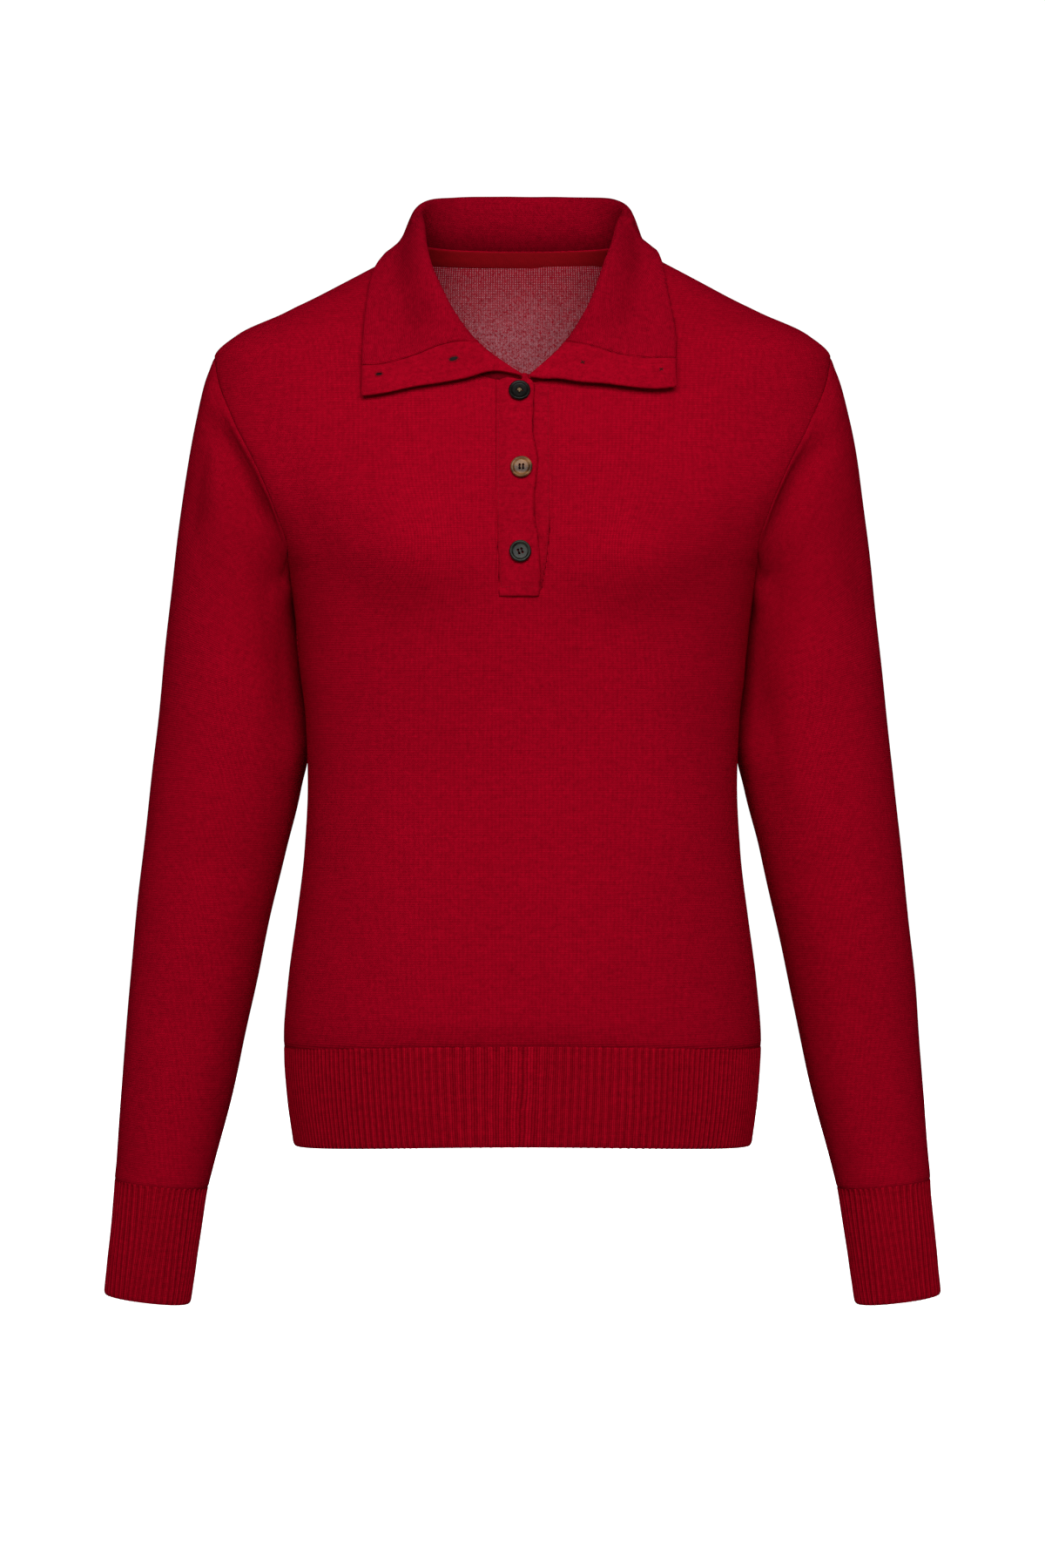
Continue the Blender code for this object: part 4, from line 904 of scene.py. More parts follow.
def collar_section(station):
    """The folded section's corners: seam, the stand's pull, the roll, the fall's two pulls and its edge."""
    names = ("roll_x", "roll_y", "roll_z")
    roll, edge = three(names, station), three(("edge_x", "edge_y", "edge_z"), station)
    seam = neckline_curve(np.clip(collar_value("angle", station), 0, 180))
    seam[..., 0] *= np.where(station < LAST_STATION / 2, -1, 1)
    rise = unit(roll - seam)
    along = three(names, np.minimum(station + 0.2, LAST_STATION)) - three(names, np.maximum(station - 0.2, 0))
    outward = unit(np.cross(rise, along))
    width = collar_value("roll", station)[..., None]
    stand_pull = roll - outward * width * STAND_BEND
    turn = roll + outward * width + rise * width * ROLL_RISE
    pull = edge + (roll - edge) * FALL_PULL - torso_normal(edge) * FALL_SAG
    return seam + rise * STAND_GAP, stand_pull, roll, turn, pull, edge


def stand_points(station, share):
    seam, pull, roll, *_ = collar_section(station)
    t = share[..., None]
    return seam * (1 - t) ** 2 + pull * 2 * (1 - t) * t + roll * t**2


def fall_points(station, share):
    *_, roll, turn, pull, edge = collar_section(station)
    t = share[..., None]
    points = roll * (1 - t) ** 3 + turn * 3 * (1 - t) ** 2 * t + pull * 3 * (1 - t) * t**2 + edge * t**3
    along = np.linalg.norm(points - roll, axis=-1) / np.linalg.norm(edge - roll, axis=-1)
    points[..., 2] += flap_wave(station, np.minimum(along, 1.0))
    lift = np.maximum(collar_value("lift", station), 0.0)
    pushed = pushed_out(points, COLLAR_WALL + REST_CLEARANCE + lift)
    return lerp(points, pushed, smooth_step(0.18, 0.34, share)[..., None])


STAND_STEPS = 12
FALL_STEPS = 44
# How far the roll stands up in front, how far the fall sinks past it, and how far the stand is drawn back
FRONT_ROLL_LIFT = 10.0
FALL_SINK = 4.5
STAND_CORNER = 1.0
STAND_SINK = 2.5
# The stations where the lift begins and ends, and the shares of the fall over which it fades
ROLL_IN_FRONT, ROLL_BEHIND, ROLL_FADE = (0.9, 2.2), (6.6, 4.4), (0.52, 0.08)
# The middle and the width of the fall's hollow and of the stand's two, and the stations of those two
FALL_SINK_PLACE = (0.60, 0.20)
CORNER_STATION, CORNER_PLACE = (9.0, 0.8), (0.5, 0.3)
SINK_STATIONS, SINK_PLACE = (9.2, 10.4), (0.42, 0.28)


def collar_grid(stations):
    """The collar's visible face: up the stand, over the roll and down the fall to its outer edge."""
    # It starts a little below its seam, inside the neck
    stand = np.linspace(-0.1, 1, STAND_STEPS, endpoint=False)
    fall = np.linspace(0, 1, FALL_STEPS + 1)
    fall = 0.35 * fall + 0.65 * fall**1.5
    up = stand_points(*np.broadcast_arrays(stations[:, None], stand))
    down = fall_points(*np.broadcast_arrays(stations[:, None], fall))
    # The fold and the push clear of the torso meet softly
    return smoothed(np.concatenate([up, down], axis=1), 3)


def shape_roll(face, along, from_front):
    """Lifts the roll in front and sinks the fall past it; returns how far the stand's faces draw back."""
    roll = along[:, STAND_STEPS : STAND_STEPS + 1]
    up_stand = np.clip(along / roll, 0, 1)
    down_fall = np.clip((along - roll) / (along[:, -1:] - roll), 0, 1)
    in_front = smooth_step(*ROLL_IN_FRONT, from_front) * smooth_step(*ROLL_BEHIND, from_front)
    rise = FRONT_ROLL_LIFT * smooth_step(0, 1, up_stand) * smooth_step(*ROLL_FADE, down_fall)
    face[..., 1] -= in_front * (rise - FALL_SINK * bell(down_fall, *FALL_SINK_PLACE))
    # Inside the neck the stand's corners and its middle are drawn back
    corner = STAND_CORNER * bell(from_front, *CORNER_STATION) * bell(up_stand, *CORNER_PLACE)
    middle = STAND_SINK * smooth_step(*SINK_STATIONS, from_front) * bell(up_stand, *SINK_PLACE)
    return -(corner + middle) * (along < roll)


# About how far apart the stations lie, and how far from the bands' seams the rows close to them are
STATION_WIDTH = 22.0
SEAM_ROWS = (0, 0.3, 0.6, 0.9, 1.3, 1.8, 2.4, 3.2)
# How the cloth sinks and is drawn together at those seams and at the ends, the ridge beside it, and the rim
COLLAR_SEAM_SINK, COLLAR_END_SINK, COLLAR_SEAM_REACH, COLLAR_SEAM_PULL = 0.95, 0.5, 1.2, 0.12
COLLAR_RIDGE, COLLAR_RIDGE_PLACE = 0.35, (2.0, 0.9)
COLLAR_RIM, COLLAR_RIM_REACH = 0.5, 1.4


def make_collar(materials, band_materials):
    """The collar's cloth and its two bands, by name."""
    band = BAND_STATION * (0.5 - 0.5 * np.cos(np.linspace(0, math.pi, 34)))
    close = np.array(SEAM_ROWS) / STATION_WIDTH
    start, end = BAND_STATION, LAST_STATION - BAND_STATION
    middle = np.concatenate([start + close, np.linspace(start + 0.2, end - 0.2, 168), end - close[::-1]])
    stations = np.concatenate([band, middle[1:], (LAST_STATION - band[::-1])[1:]])
    visible = collar_grid(stations)
    normals = unit(np.cross(np.gradient(visible, axis=0), np.gradient(visible, axis=1)))
    first, final, last = len(band) - 1, len(band) + len(middle) - 2, len(stations) - 1
    made = {}
    for name, start, end, kind in (
        ("collar_band_right_cloth", 0, first, band_materials),
        ("collar_cloth", first, final, materials),
        ("collar_band_left_cloth", final, last, band_materials),
    ):
        face, out = visible[start : end + 1].copy(), normals[start : end + 1]
        at = stations[start : end + 1, None]
        runs, along = run_lengths(face, 0), run_lengths(face, 1)
        relief = 0 * runs
        for gap, seam, row, inward in ((runs, start > 0, 0, 1), (runs[-1:] - runs, end < last, -1, -2)):
            relief -= (COLLAR_SEAM_SINK if seam else COLLAR_END_SINK) * near(gap, COLLAR_SEAM_REACH)
            if seam:
                face[row] += unit(face[inward] - face[row]) * COLLAR_SEAM_PULL
                relief += COLLAR_RIDGE * bell(gap, *COLLAR_RIDGE_PLACE)
        bend = shape_roll(face, along, np.minimum(at, LAST_STATION - at))
        rim = COLLAR_RIM * near(along[:, -1:] - along, COLLAR_RIM_REACH)
        relief += ripple(face[..., 0], face[..., 2], "collar") * smooth_step(0, 8, along) - rim
        outer, inner = raised(face, out, relief + bend), raised(face, out, bend - COLLAR_WALL + rim)
        uv = np.stack([runs, along] if name == "collar_cloth" else [along, runs], axis=-1)
        made[name] = cloth(name, outer, inner, uv, kind, bulge=0.3)
    return made


# Placket


def band_offset(x, height):
    """How far the over band lies off the panel's surface: flush at its seam, then over the under band."""
    from_seam = x - placket_seam_x(height, -1)
    return lerp(SEAM_GAP, OVER_BAND_LIFT, smooth_step(0, 1, from_seam / OVER_BAND_RISE_WIDTH))


def band_cloth(name, points, relief, materials):
    normals = torso_normal(points)
    inner = points - normals * BAND_WALL
    return cloth(name, raised(points, normals, relief), inner, knit_places(points), materials, bulge=0.25)


# How deep and wide the seam's and the stitches' hollows in the bands are
BAND_SEAM_SINK, BAND_SEAM_REACH = 0.1, 0.9
STITCH_LINE, STITCH_LINE_SINK, STITCH_LINE_WIDTH = 1.6, 0.16, 0.5


def seam_relief(from_seam):
    """A band turns in at its seam, and the row of stitches beside it draws the cloth in."""
    hollow = STITCH_LINE_SINK * bell(from_seam, STITCH_LINE, STITCH_LINE_WIDTH)
    return -BAND_SEAM_SINK * near(from_seam, BAND_SEAM_REACH) - hollow


# Where the over band's top goes under the collar, and how its free edge curves in at the opening's foot
UNDER_COLLAR_HEIGHTS, UNDER_COLLAR_SHARES = (-82.0, -78.5), (0.80, 0.55)
FOOT_CURVE, FOOT_CURVE_HEIGHTS = 4.6, (-89.5, -82)
# How its free edge stands off the under band, and the share left at the buttons, which hold it down
STAND_OFF, STAND_OFF_WIDTH, STAND_OFF_FADE = 1.8, 7, 14
AT_BUTTONS, BUTTON_HOLD = 0.35, 9
# How its bottom and its free edge turn in
BOTTOM_SINK, BOTTOM_REACH = 0.6, 1.3
FREE_EDGE_SINK, FREE_EDGE_REACH = 1.3, 2.0
# The under band goes further up, turns in at its edge, and is pressed back under the over band's edge
UNDER_BAND_TOP_RISE = 3.6
UNDER_EDGE_SINK, UNDER_EDGE_REACH = 0.4, 1.2
PRESSED_SINK, PRESSED_PLACE = 0.9, (0.6, 2.2)


def make_over_band(materials, start, top):
    heights = np.concatenate([
        np.linspace(OVER_BAND_BOTTOM_HEIGHT, start + 4, 8),
        np.linspace(start + 4, top - OVER_BAND_TOP_DROP, 100)[1:],
    ])
    across = np.linspace(0, 1, 25)
    across = lerp(across, 0.5 - 0.5 * np.cos(math.pi * across), 0.5)
    # Its top goes up under the collar, and its free edge curves in to the foot of the opening
    rise = np.linspace(0, 1, 15)[1:, None]
    under_collar = lerp(*UNDER_COLLAR_HEIGHTS, smooth_step(*UNDER_COLLAR_SHARES, across))
    h = np.concatenate([heights[:, None] + 0 * across, lerp(heights[-1], under_collar, rise)])
    edge = over_band_edge(h) - FOOT_CURVE * smooth_step(*FOOT_CURVE_HEIGHTS, h)
    x = lerp(placket_seam_x(h, -1) + 0.1, edge, across[None])
    lift = lerp(band_offset(x, h), OVER_BAND_LIFT, smooth_step(start + 3, start, h))
    points = on_torso(x, h, -1, lift)
    runs, up = run_lengths(points, 1), run_lengths(points, 0)
    from_edge = runs[:, -1:] - runs
    # The free edge stands off the under band between the buttons
    to_button = np.minimum.reduce([np.abs(h - row[2]) for row in FRONT_BUTTONS])
    held = lerp(AT_BUTTONS, 1, smooth_step(0, BUTTON_HOLD, to_button))
    risen = smooth_step(start, start + STAND_OFF_FADE, h)
    relief = STAND_OFF * bell(from_edge, 0, STAND_OFF_WIDTH) * held * risen + seam_relief(runs)
    relief -= BOTTOM_SINK * near(up, BOTTOM_REACH) + FREE_EDGE_SINK * near(from_edge, FREE_EDGE_REACH)
    relief += ripple(x, h, "placket")
    return band_cloth("placket_over_cloth", points, relief, materials)


def make_under_band(materials, start, top):
    across = np.linspace(0, 1, 17)
    h = np.linspace(start, top + UNDER_BAND_TOP_RISE, 80)[:, None] + 0 * across
    x = lerp(UNDER_BAND_EDGE, placket_seam_x(h, 1) - 0.1, across[None])
    points = on_torso(x, h, -1)
    runs = run_lengths(points, 1)
    relief = seam_relief(runs[:, -1:] - runs) - UNDER_EDGE_SINK * near(runs, UNDER_EDGE_REACH)
    relief -= PRESSED_SINK * bell(x - over_band_edge(h), *PRESSED_PLACE)
    return band_cloth("placket_under_cloth", points, relief, materials)


def make_placket(materials):
    start = PLACKET_BOTTOM_HEIGHT + SEAM_GAP
    top = float(neckline_curve(np.array(0.0))[2]) - SEAM_GAP
    return make_over_band(materials, start, top), make_under_band(materials, start, top)


# How far round the neck the tape goes, in degrees, how far down its rows lie, and how it lies and thins
TAPE_TURN = 74
TAPE_DROPS = (0.1, 0.8, 2, 4, 6, 8, 8.9, 9.5, 9.9)
TAPE_LIFT = 0.03
TAPE_EDGE_WALL, TAPE_FULL_WALL, TAPE_EDGE = 0.12, 0.5, (10.0, 7)


def make_tape(materials):
    """A strip inside the back neck, over the seam's edge."""
    turn = np.linspace(-TAPE_TURN, TAPE_TURN, 90)
    neck = neckline_curve(180 - np.abs(turn))
    drop = np.array(TAPE_DROPS)[:, None]
    h = neck[:, 2] - drop
    points = on_torso(np.sign(turn) * neck[:, 0] + 0 * h, h, 1)
    normals = torso_normal(points)
    outer = points - normals * (WALL + TAPE_LIFT)
    wall = TAPE_EDGE_WALL + TAPE_FULL_WALL * smooth_step(*TAPE_EDGE, drop)
    inner = outer - normals * wall[..., None]
    return cloth("neck_tape_cloth", outer, inner, knit_places(points), materials, bulge=0.3)


# Buttons, threads and sewing


def turned(profile, sides):
    """A profile turned round Z, as points and faces; it starts and ends on the axis."""
    angle = np.arange(sides) * 2 * math.pi / sides
    ring = np.array(profile[1:-1])
    body = stacked(ring[:, :1] * np.cos(angle), ring[:, :1] * np.sin(angle), ring[:, 1:])
    points = np.concatenate([body.reshape(-1, 3), [[0, 0, profile[0][1]], [0, 0, profile[-1][1]]]])
    index = np.arange(len(ring) * sides).reshape(len(ring), sides)
    after = np.roll(index, -1, axis=1)
    quads = np.stack([index[:-1], index[1:], after[1:], after[:-1]], axis=-1).reshape(-1, 4)
    first, final = len(ring) * sides, len(ring) * sides + 1
    top = np.stack([np.full(sides, first), index[0], after[0]], axis=-1)
    bottom = np.stack([np.full(sides, final), after[-1], index[-1]], axis=-1)
    return points, [quads, top, bottom]


def round_profile(profile, radius=0.28, steps=4):
    """The profile with its corners rounded off."""
    made = [profile[0]]
    t = np.linspace(0, 1, steps + 1)[:, None]
    for before, here, after in zip(profile, profile[1:], profile[2:]):
        here, back, on = np.array(here), np.subtract(before, here), np.subtract(after, here)
        r = min(radius, np.linalg.norm(back) * 0.45, np.linalg.norm(on) * 0.45)
        start, end = here + unit(back) * r, here + unit(on) * r
        made += (start * (1 - t) ** 2 + here * 2 * t * (1 - t) + end * t**2).tolist()
    return made + [profile[-1]]


def facing_turn(normal, turn):
    """Matrix that turns +Z to face along a normal, after a turn about itself."""
    facing = Vector(normal).to_track_quat("Z", "Y").to_matrix().to_4x4()
    return facing @ Matrix.Rotation(math.radians(turn), 4, "Z")


def button_profile():
    face = BUTTON_THICKNESS / 2
    rim = BUTTON_RADIUS - BUTTON_RIM_WIDTH
    return [
        (0.0, face - BUTTON_DISH_DEPTH),
        (rim - 0.9, face - BUTTON_DISH_DEPTH),
        (rim, face - 0.15),
        (rim + 0.7, face),
        (BUTTON_RADIUS - 0.35, face - 0.35),
        (BUTTON_RADIUS, face - 1.1),
        (BUTTON_RADIUS - 1.3, -face + 0.2),
        (BUTTON_RADIUS - 2.4, -face),
        (0.0, -face),
    ]


def laid(shape, centre, turn):
    """A shape's points, turned and moved to its centre, and its faces."""
    points, faces = shape
    return np.asarray(points, float) @ np.array(turn.transposed().to_3x3()) + np.asarray(centre, float), faces


def tube(path, radius, sides):
    """A capped round thread along a path, thinner towards its ends, as points and faces."""
    path = np.asarray(path, float)
    ahead = unit(np.gradient(path, axis=0))
    up = (0, 0, 1.0) if abs(ahead[:, 2]).mean() < 0.9 else (1.0, 0, 0)
    side = unit(np.cross(ahead, up))
    top = np.cross(side, ahead)
    angle = (np.arange(sides) * 2 * math.pi / sides)[:, None]
    order = np.arange(len(path))
    size = radius * (1 - 0.45 * near(np.minimum(order, order[::-1]), len(path) / 4))
    across = side[:, None] * np.cos(angle) + top[:, None] * np.sin(angle)
    ring = path[:, None] + size[:, None, None] * across
    index = np.arange(len(path) * sides).reshape(len(path), sides)
    after = np.roll(index, -1, axis=1)
    quads = np.stack([index[:-1], after[:-1], after[1:], index[1:]], axis=-1).reshape(-1, 4)
    points = np.concatenate([ring.reshape(-1, 3), path[:1], path[-1:]])
    start = np.stack([np.full(sides, len(points) - 2), after[0], index[0]], axis=-1)
    end = np.stack([np.full(sides, len(points) - 1), index[-1], after[-1]], axis=-1)
    return points, [quads, start, end]


def joined(name, shapes, materials):
    """One object from several shapes."""
    starts = np.cumsum([0] + [len(points) for points, _ in shapes])
    faces = [np.asarray(f) + start for (_, some), start in zip(shapes, starts) for f in some]
    return add_mesh(name, np.concatenate([points for points, _ in shapes]), faces, materials)


def button_place(surface, normal, tip_up, tip_right):
    tipped_normal = Matrix.Rotation(math.radians(tip_up), 3, "X") @ Vector(normal)
    tipped_normal = Matrix.Rotation(math.radians(tip_right), 3, "Z") @ tipped_normal
    tipped = math.radians(abs(tip_up) + abs(tip_right))
    lift = BUTTON_GAP + BUTTON_THICKNESS / 2 + BUTTON_RADIUS * 0.7 * math.sin(tipped)
    return np.asarray(surface) + np.asarray(normal) * lift, tipped_normal


HOLE_ANGLES = (45, 135, 225, 315)
THREAD_RADIUS = 0.27
SHANK_RADIUS = 0.9


def make_button(name, centre, normal, turn, materials, threads):
    """A turned button with four holes cut through, and the shapes of its threads and its shank."""
    facing = facing_turn(normal, turn)
    blank = add_mesh(name, *laid(turned(round_profile(button_profile()), 72), centre, facing), materials)
    holes = [
        np.array(Vector((math.cos(a), math.sin(a), 0)) * BUTTON_HOLE_OFFSET)
        for a in map(math.radians, HOLE_ANGLES)
    ]
    drill, faces = turned([(0, 3), (BUTTON_HOLE_RADIUS, 3), (BUTTON_HOLE_RADIUS, -3), (0, -3)], 20)
    drills = [laid((drill + hole, faces), centre, facing) for hole in holes]
    cutter = joined(name + "_holes", drills, materials)
    cut = blank.modifiers.new("holes", "BOOLEAN")
    cut.object, cut.operation, cut.solver = cutter, "DIFFERENCE", "EXACT"
    graph = bpy.context.evaluated_depsgraph_get()
    mesh = bpy.data.meshes.new_from_object(blank.evaluated_get(graph))
    blank.modifiers.clear()
    blank.data = mesh
    bpy.data.objects.remove(cutter)
    mesh.shade_smooth()
    mesh.set_sharp_from_angle(angle=math.radians(32))
    # Two strands lie between each pair of holes and dip into them at both ends
    t = np.linspace(0, 1, 15)
    dip = 1.6 * np.maximum(0.0, np.abs(t - 0.5) * 2 - 0.78) / 0.22
    height = BUTTON_THICKNESS / 2 - BUTTON_DISH_DEPTH + 0.32 - dip
    shapes = []
    for a, b in threads:
        beside = unit(np.cross(holes[b] - holes[a], (0, 0, 1)))
        for shift in (-THREAD_RADIUS, THREAD_RADIUS):
            path = lerp(holes[a], holes[b], t[:, None]) + beside * shift
            path[:, 2] = height
            shapes.append(laid(tube(path, THREAD_RADIUS, 8), centre, facing))
    k = np.arange(14)
    shank = stacked(np.cos(k * 0.9) * 0.25, np.sin(k * 0.9) * 0.25, 0.9 - BUTTON_THICKNESS / 2 - 0.18 * k)
    return blank, shapes + [laid(tube(shank, SHANK_RADIUS, 10), centre, facing)]


def surface_frame(right, normal):
    """Matrix whose X runs along `right` and whose Z faces along the surface's normal."""
    z = Vector(normal).normalized()
    x = (Vector(right) - z * Vector(right).dot(z)).normalized()
    return Matrix((x, z.cross(x), z)).transposed().to_4x4()


STITCH_LENGTH = 1.3
STITCH_GAP = 0.5
STITCH_RADIUS = 0.13
STITCH_SINK = 0.02


def stitches(points):
    """A row of short stitches along a line of points on the torso."""
    runs, normals = run_lengths(points, 0), torso_normal(points)
    arch = np.sin(np.linspace(0, math.pi, 7)) * STITCH_RADIUS * 1.2 - STITCH_SINK - STITCH_RADIUS * 0.4
    shapes = []
    for start in np.arange(STITCH_GAP, runs[-1] - STITCH_LENGTH, STITCH_LENGTH + STITCH_GAP):
        at = np.linspace(start, start + STITCH_LENGTH, 7)
        path, out = (
            np.stack([np.interp(at, runs, column) for column in of.T], axis=-1) for of in (points, normals)
        )
        shapes.append(tube(raised(path, unit(out), arch), STITCH_RADIUS, 6))
    return shapes


def on_fall(x, z, low, high):
    """Point, direction and normal on the fall between two stations, at a place seen from the front."""
    stations, shares = np.meshgrid(np.linspace(low, high, 60), np.linspace(0.12, 1.0, 160), indexing="ij")
    points = fall_points(stations, shares)
    best = np.argmin((points[..., 0] - x) ** 2 + (points[..., 2] - z) ** 2)
    s, t = stations.ravel()[best : best + 1], shares.ravel()[best : best + 1]
    across = fall_points(s + 0.1, t)[0] - fall_points(s - 0.1, t)[0]
    down = fall_points(s, np.minimum(t + 0.02, 1.0))[0] - fall_points(s, t - 0.02)[0]
    normal = unit(np.cross(across, down))
    return fall_points(s, t)[0], down, -normal if normal[1] > 0 else normal


def buttonhole(point, right, normal, length, width):
    """A slit with a sewn edge: the shapes of a dark lens of painted shade where the slit opens, and of a ring
    of thread round it.
    """
    placing = surface_frame(right, normal)
    turn = np.linspace(0, 2 * math.pi, 41)[:-1]
    lens = stacked(np.cos(turn) * length / 2, np.sin(turn) * width / 2, 0.12)
    order = np.arange(len(turn))
    fan = np.stack([0 * order + len(turn), order, np.roll(order, -1)], axis=-1)
    slit = np.concatenate([lens, [[0, 0, 0.2]]]), [fan]
    # The thread goes in and out round the slit
    k = np.arange(93) % 92
    a = 2 * math.pi * k / 92
    middle = stacked(np.cos(a) * (length / 2 + 0.25), np.sin(a) * (width / 2 + 0.3), 0.32 + 0.06 * (k % 2))
    out = unit(stacked(np.cos(a) / length, np.sin(a) / width, 0))
    ring = tube(raised(middle, out, np.where(k % 2, 0.58, 0.02)), 0.14, 6)
    return [laid(slit, point, placing)], [laid(ring, point, placing)]


# Materials: patterns are read from the knit's own places or from each object's own coordinates, in metres


class Value:
    """A socket of a shader; sums and products of it become maths nodes."""

    def __init__(self, shader, socket):
        self.shader, self.socket = shader, socket

    def math(self, operation, other=0.0):
        return self.shader.node("ShaderNodeMath", {0: self, 1: other}, operation=operation)

    def __add__(self, other):
        return self.math("ADD", other)

    def __sub__(self, other):
        return self.math("SUBTRACT", other)

    def __mul__(self, other):
        return self.math("MULTIPLY", other)

    def __abs__(self):
        return self.math("ABSOLUTE")

    def cosine(self):
        """Cosine of a count of turns."""
        return (self * (2 * math.pi)).math("COSINE")

    def wave(self):
        """1 at each whole count and 0 halfway between two."""
        return self.cosine() * 0.5 + 0.5

    def clamped(self):
        self.socket.node.use_clamp = True
        return self


class Shader:
    def __init__(self, name):
        self.material = bpy.data.materials.new(name)
        self.material.use_nodes = True
        self.nodes, self.links = self.material.node_tree.nodes, self.material.node_tree.links
        self.shader = self.nodes["Principled BSDF"]

    def put(self, socket, value):
        if isinstance(value, Value):
            self.links.new(value.socket, socket)
        else:
            socket.default_value = value

    def node(self, kind, inputs, output=0, **settings):
        made = self.nodes.new(kind)
        for key, value in settings.items():
            setattr(made, key, value)
        for key, value in inputs.items():
            self.put(made.inputs[key], value)
        return Value(self, made.outputs[output])

    def mix(self, share, a, b):
        return self.node("ShaderNodeMix", {"Factor": share, 6: a, 7: b}, output=2, data_type="RGBA")

    def noise(self, where, scale, detail=2.0, roughness=0.5):
        inputs = {"Vector": where, "Scale": scale, "Detail": detail, "Roughness": roughness}
        return self.node("ShaderNodeTexNoise", inputs)

    def ramp(self, value, start, end, low, high, **settings):
        return self.node("ShaderNodeMapRange", {0: value, 1: start, 2: end, 3: low, 4: high}, **settings)

    def split(self, where):
        sockets = self.node("ShaderNodeSeparateXYZ", {0: where}).socket.node.outputs
        return [Value(self, socket) for socket in sockets]

    def knit_place(self):
        """Place in the knit, in metres: across its wales and up its courses."""
        return self.node("ShaderNodeUVMap", {}, uv_map="knit")

    def object_place(self):
        return self.node("ShaderNodeTexCoord", {}, output=3)

    def finish(self, colour, roughness, height=None, strength=0.5, distance=0.0004, **constants):
        self.put(self.shader.inputs["Base Color"], colour)
        self.put(self.shader.inputs["Roughness"], roughness)
        for key, value in constants.items():
            self.put(self.shader.inputs[key.replace("_", " ")], value)
        if height is not None:
            bump = self.node("ShaderNodeBump", {"Strength": strength, "Distance": distance, "Height": height})
            self.put(self.shader.inputs["Normal"], bump)
        return self.material


def shade(colour, by):
    return (*[c * by for c in colour], 1.0)


# Noises of the knit: scale per metre, detail and roughness
WANDER = (45.0,)
FIBRE = (2600.0, 3.0, 0.65)
PATCH = (14.0, 3.0, 0.55)
SPECK = (330.0, 4.0, 0.9)
STREAK = (1.0, 2.0, 0.6)
LIGHT_SPOTS = (700.0, 3.0, 0.7)
# Streaks per metre along a course and up the wales
STREAKS_ACROSS, STREAKS_UP = 45.0, 560.0
# Where shade is painted on the collar's stand, darkest at its seam: from its seam up, in metres
PAINTED_SHADE_START, PAINTED_SHADE_END = 0.002, 0.031
WALE, COURSE = 1.4, 1.15
STITCH_SLANT = 0.55


def jersey(s, colour, wale=WALE, course=COURSE, purl=False, contrast=1.0, heather=1.5, ribs=0.0, low=0.0):
    """Plain knit: columns of small Vs on its face, rows of low loops on its back."""
    u, v, _ = s.split(s.knit_place())
    place_at = s.object_place()
    wander = (s.noise(place_at, *WANDER) - 0.5) * 0.5
    wales, courses = u * (1000.0 / wale) + wander, v * (1000.0 / course) + wander
    from_middle = abs((wales.math("FRACT") - 0.5) * 2.0)
    if purl:
        phase = courses + wales.cosine() * 0.22
        leg = from_middle * 0.3 + 0.7
    else:
        phase = courses - from_middle * STITCH_SLANT
        leg = (from_middle * math.pi).math("SINE")
    fibre = s.noise(place_at, *FIBRE)
    height = leg * (phase.wave() * 0.55 + 0.45) + (fibre - 0.5) * 0.35
    patch, speck = s.noise(place_at, *PATCH), s.noise(place_at, *SPECK)
    yarn = s.node("ShaderNodeCombineXYZ", {0: u * STREAKS_ACROSS, 1: v * STREAKS_UP})
    streak = s.noise(yarn, *STREAK)
    # Painted shade: the tone follows the stitch relief, darker in the hollows between the loops; the patches,
    # specks and streaks are the yarn's own uneven tone
    tone = (height * contrast + (1.0 - contrast * 0.42)) * (patch * 0.16 + 0.92)
    tone = tone * (speck * heather + (1.0 - heather / 2)) * (streak * 0.36 + 0.82)
    if ribs:
        # Less light reaches the valleys between the ribs
        tone = tone * ((u * (1000.0 / RIB_PITCH)).cosine() * ribs + 1.0)
    if low:
        # Painted shade: deep in the neck the cloth is darkened towards its seam, by the share `low`
        tone = tone * s.ramp(v, PAINTED_SHADE_START, PAINTED_SHADE_END, 1.0 - low, 1.0, interpolation_type="SMOOTHSTEP")
    base = s.mix((tone * 0.5).clamped(), shade(colour, 0.0), shade(colour, 2.0))
    rough = (fibre * 0.16 + 0.76).clamped()
    return base, rough, height, wales, courses


def finish_knit(s, colour, base, rough, height, strength, sheen):
    tint = (min(1.0, colour[0] * 2.2), colour[1] * 6, colour[2] * 4, 1.0)
    constants = {"Sheen Weight": sheen, "Sheen Roughness": 0.5, "Sheen Tint": tint, "Specular IOR Level": 0.0}
    return s.finish(base, rough, height, strength=strength, **constants)


def knit_material(name, colour, strength=0.8, **settings):
    s = Shader(name)
    base, rough, height, *_ = jersey(s, colour, **settings)
    return finish_knit(s, colour, base, rough, height, strength, 0.08)


def sheer_material(name, colour, painted_light):
    """The inside of the back, with painted light: pale dots and haze where light would come through between
    the loops, most of all away from the neck.
    """
    s = Shader(name)
    base, rough, height, wales, courses = jersey(s, colour, purl=True, contrast=0.5, wale=1.6)
    place_at = s.object_place()
    cloud = s.noise(place_at, *LIGHT_SPOTS)
    away = s.ramp(s.split(place_at)[2], 0.0, -0.045, 0.0, 1.0)
    dots = wales.wave().math("POWER", 2.0) * courses.wave() * ((cloud - 0.32) * 4.0).clamped()
    mist = ((cloud - 0.36) * 2.6).clamped() * away
    spots = (dots * 0.8).math("MAXIMUM", mist * 0.6)
    return finish_knit(s, colour, s.mix(spots, base, (*painted_light, 1.0)), rough, height, 0.5, 0.1)


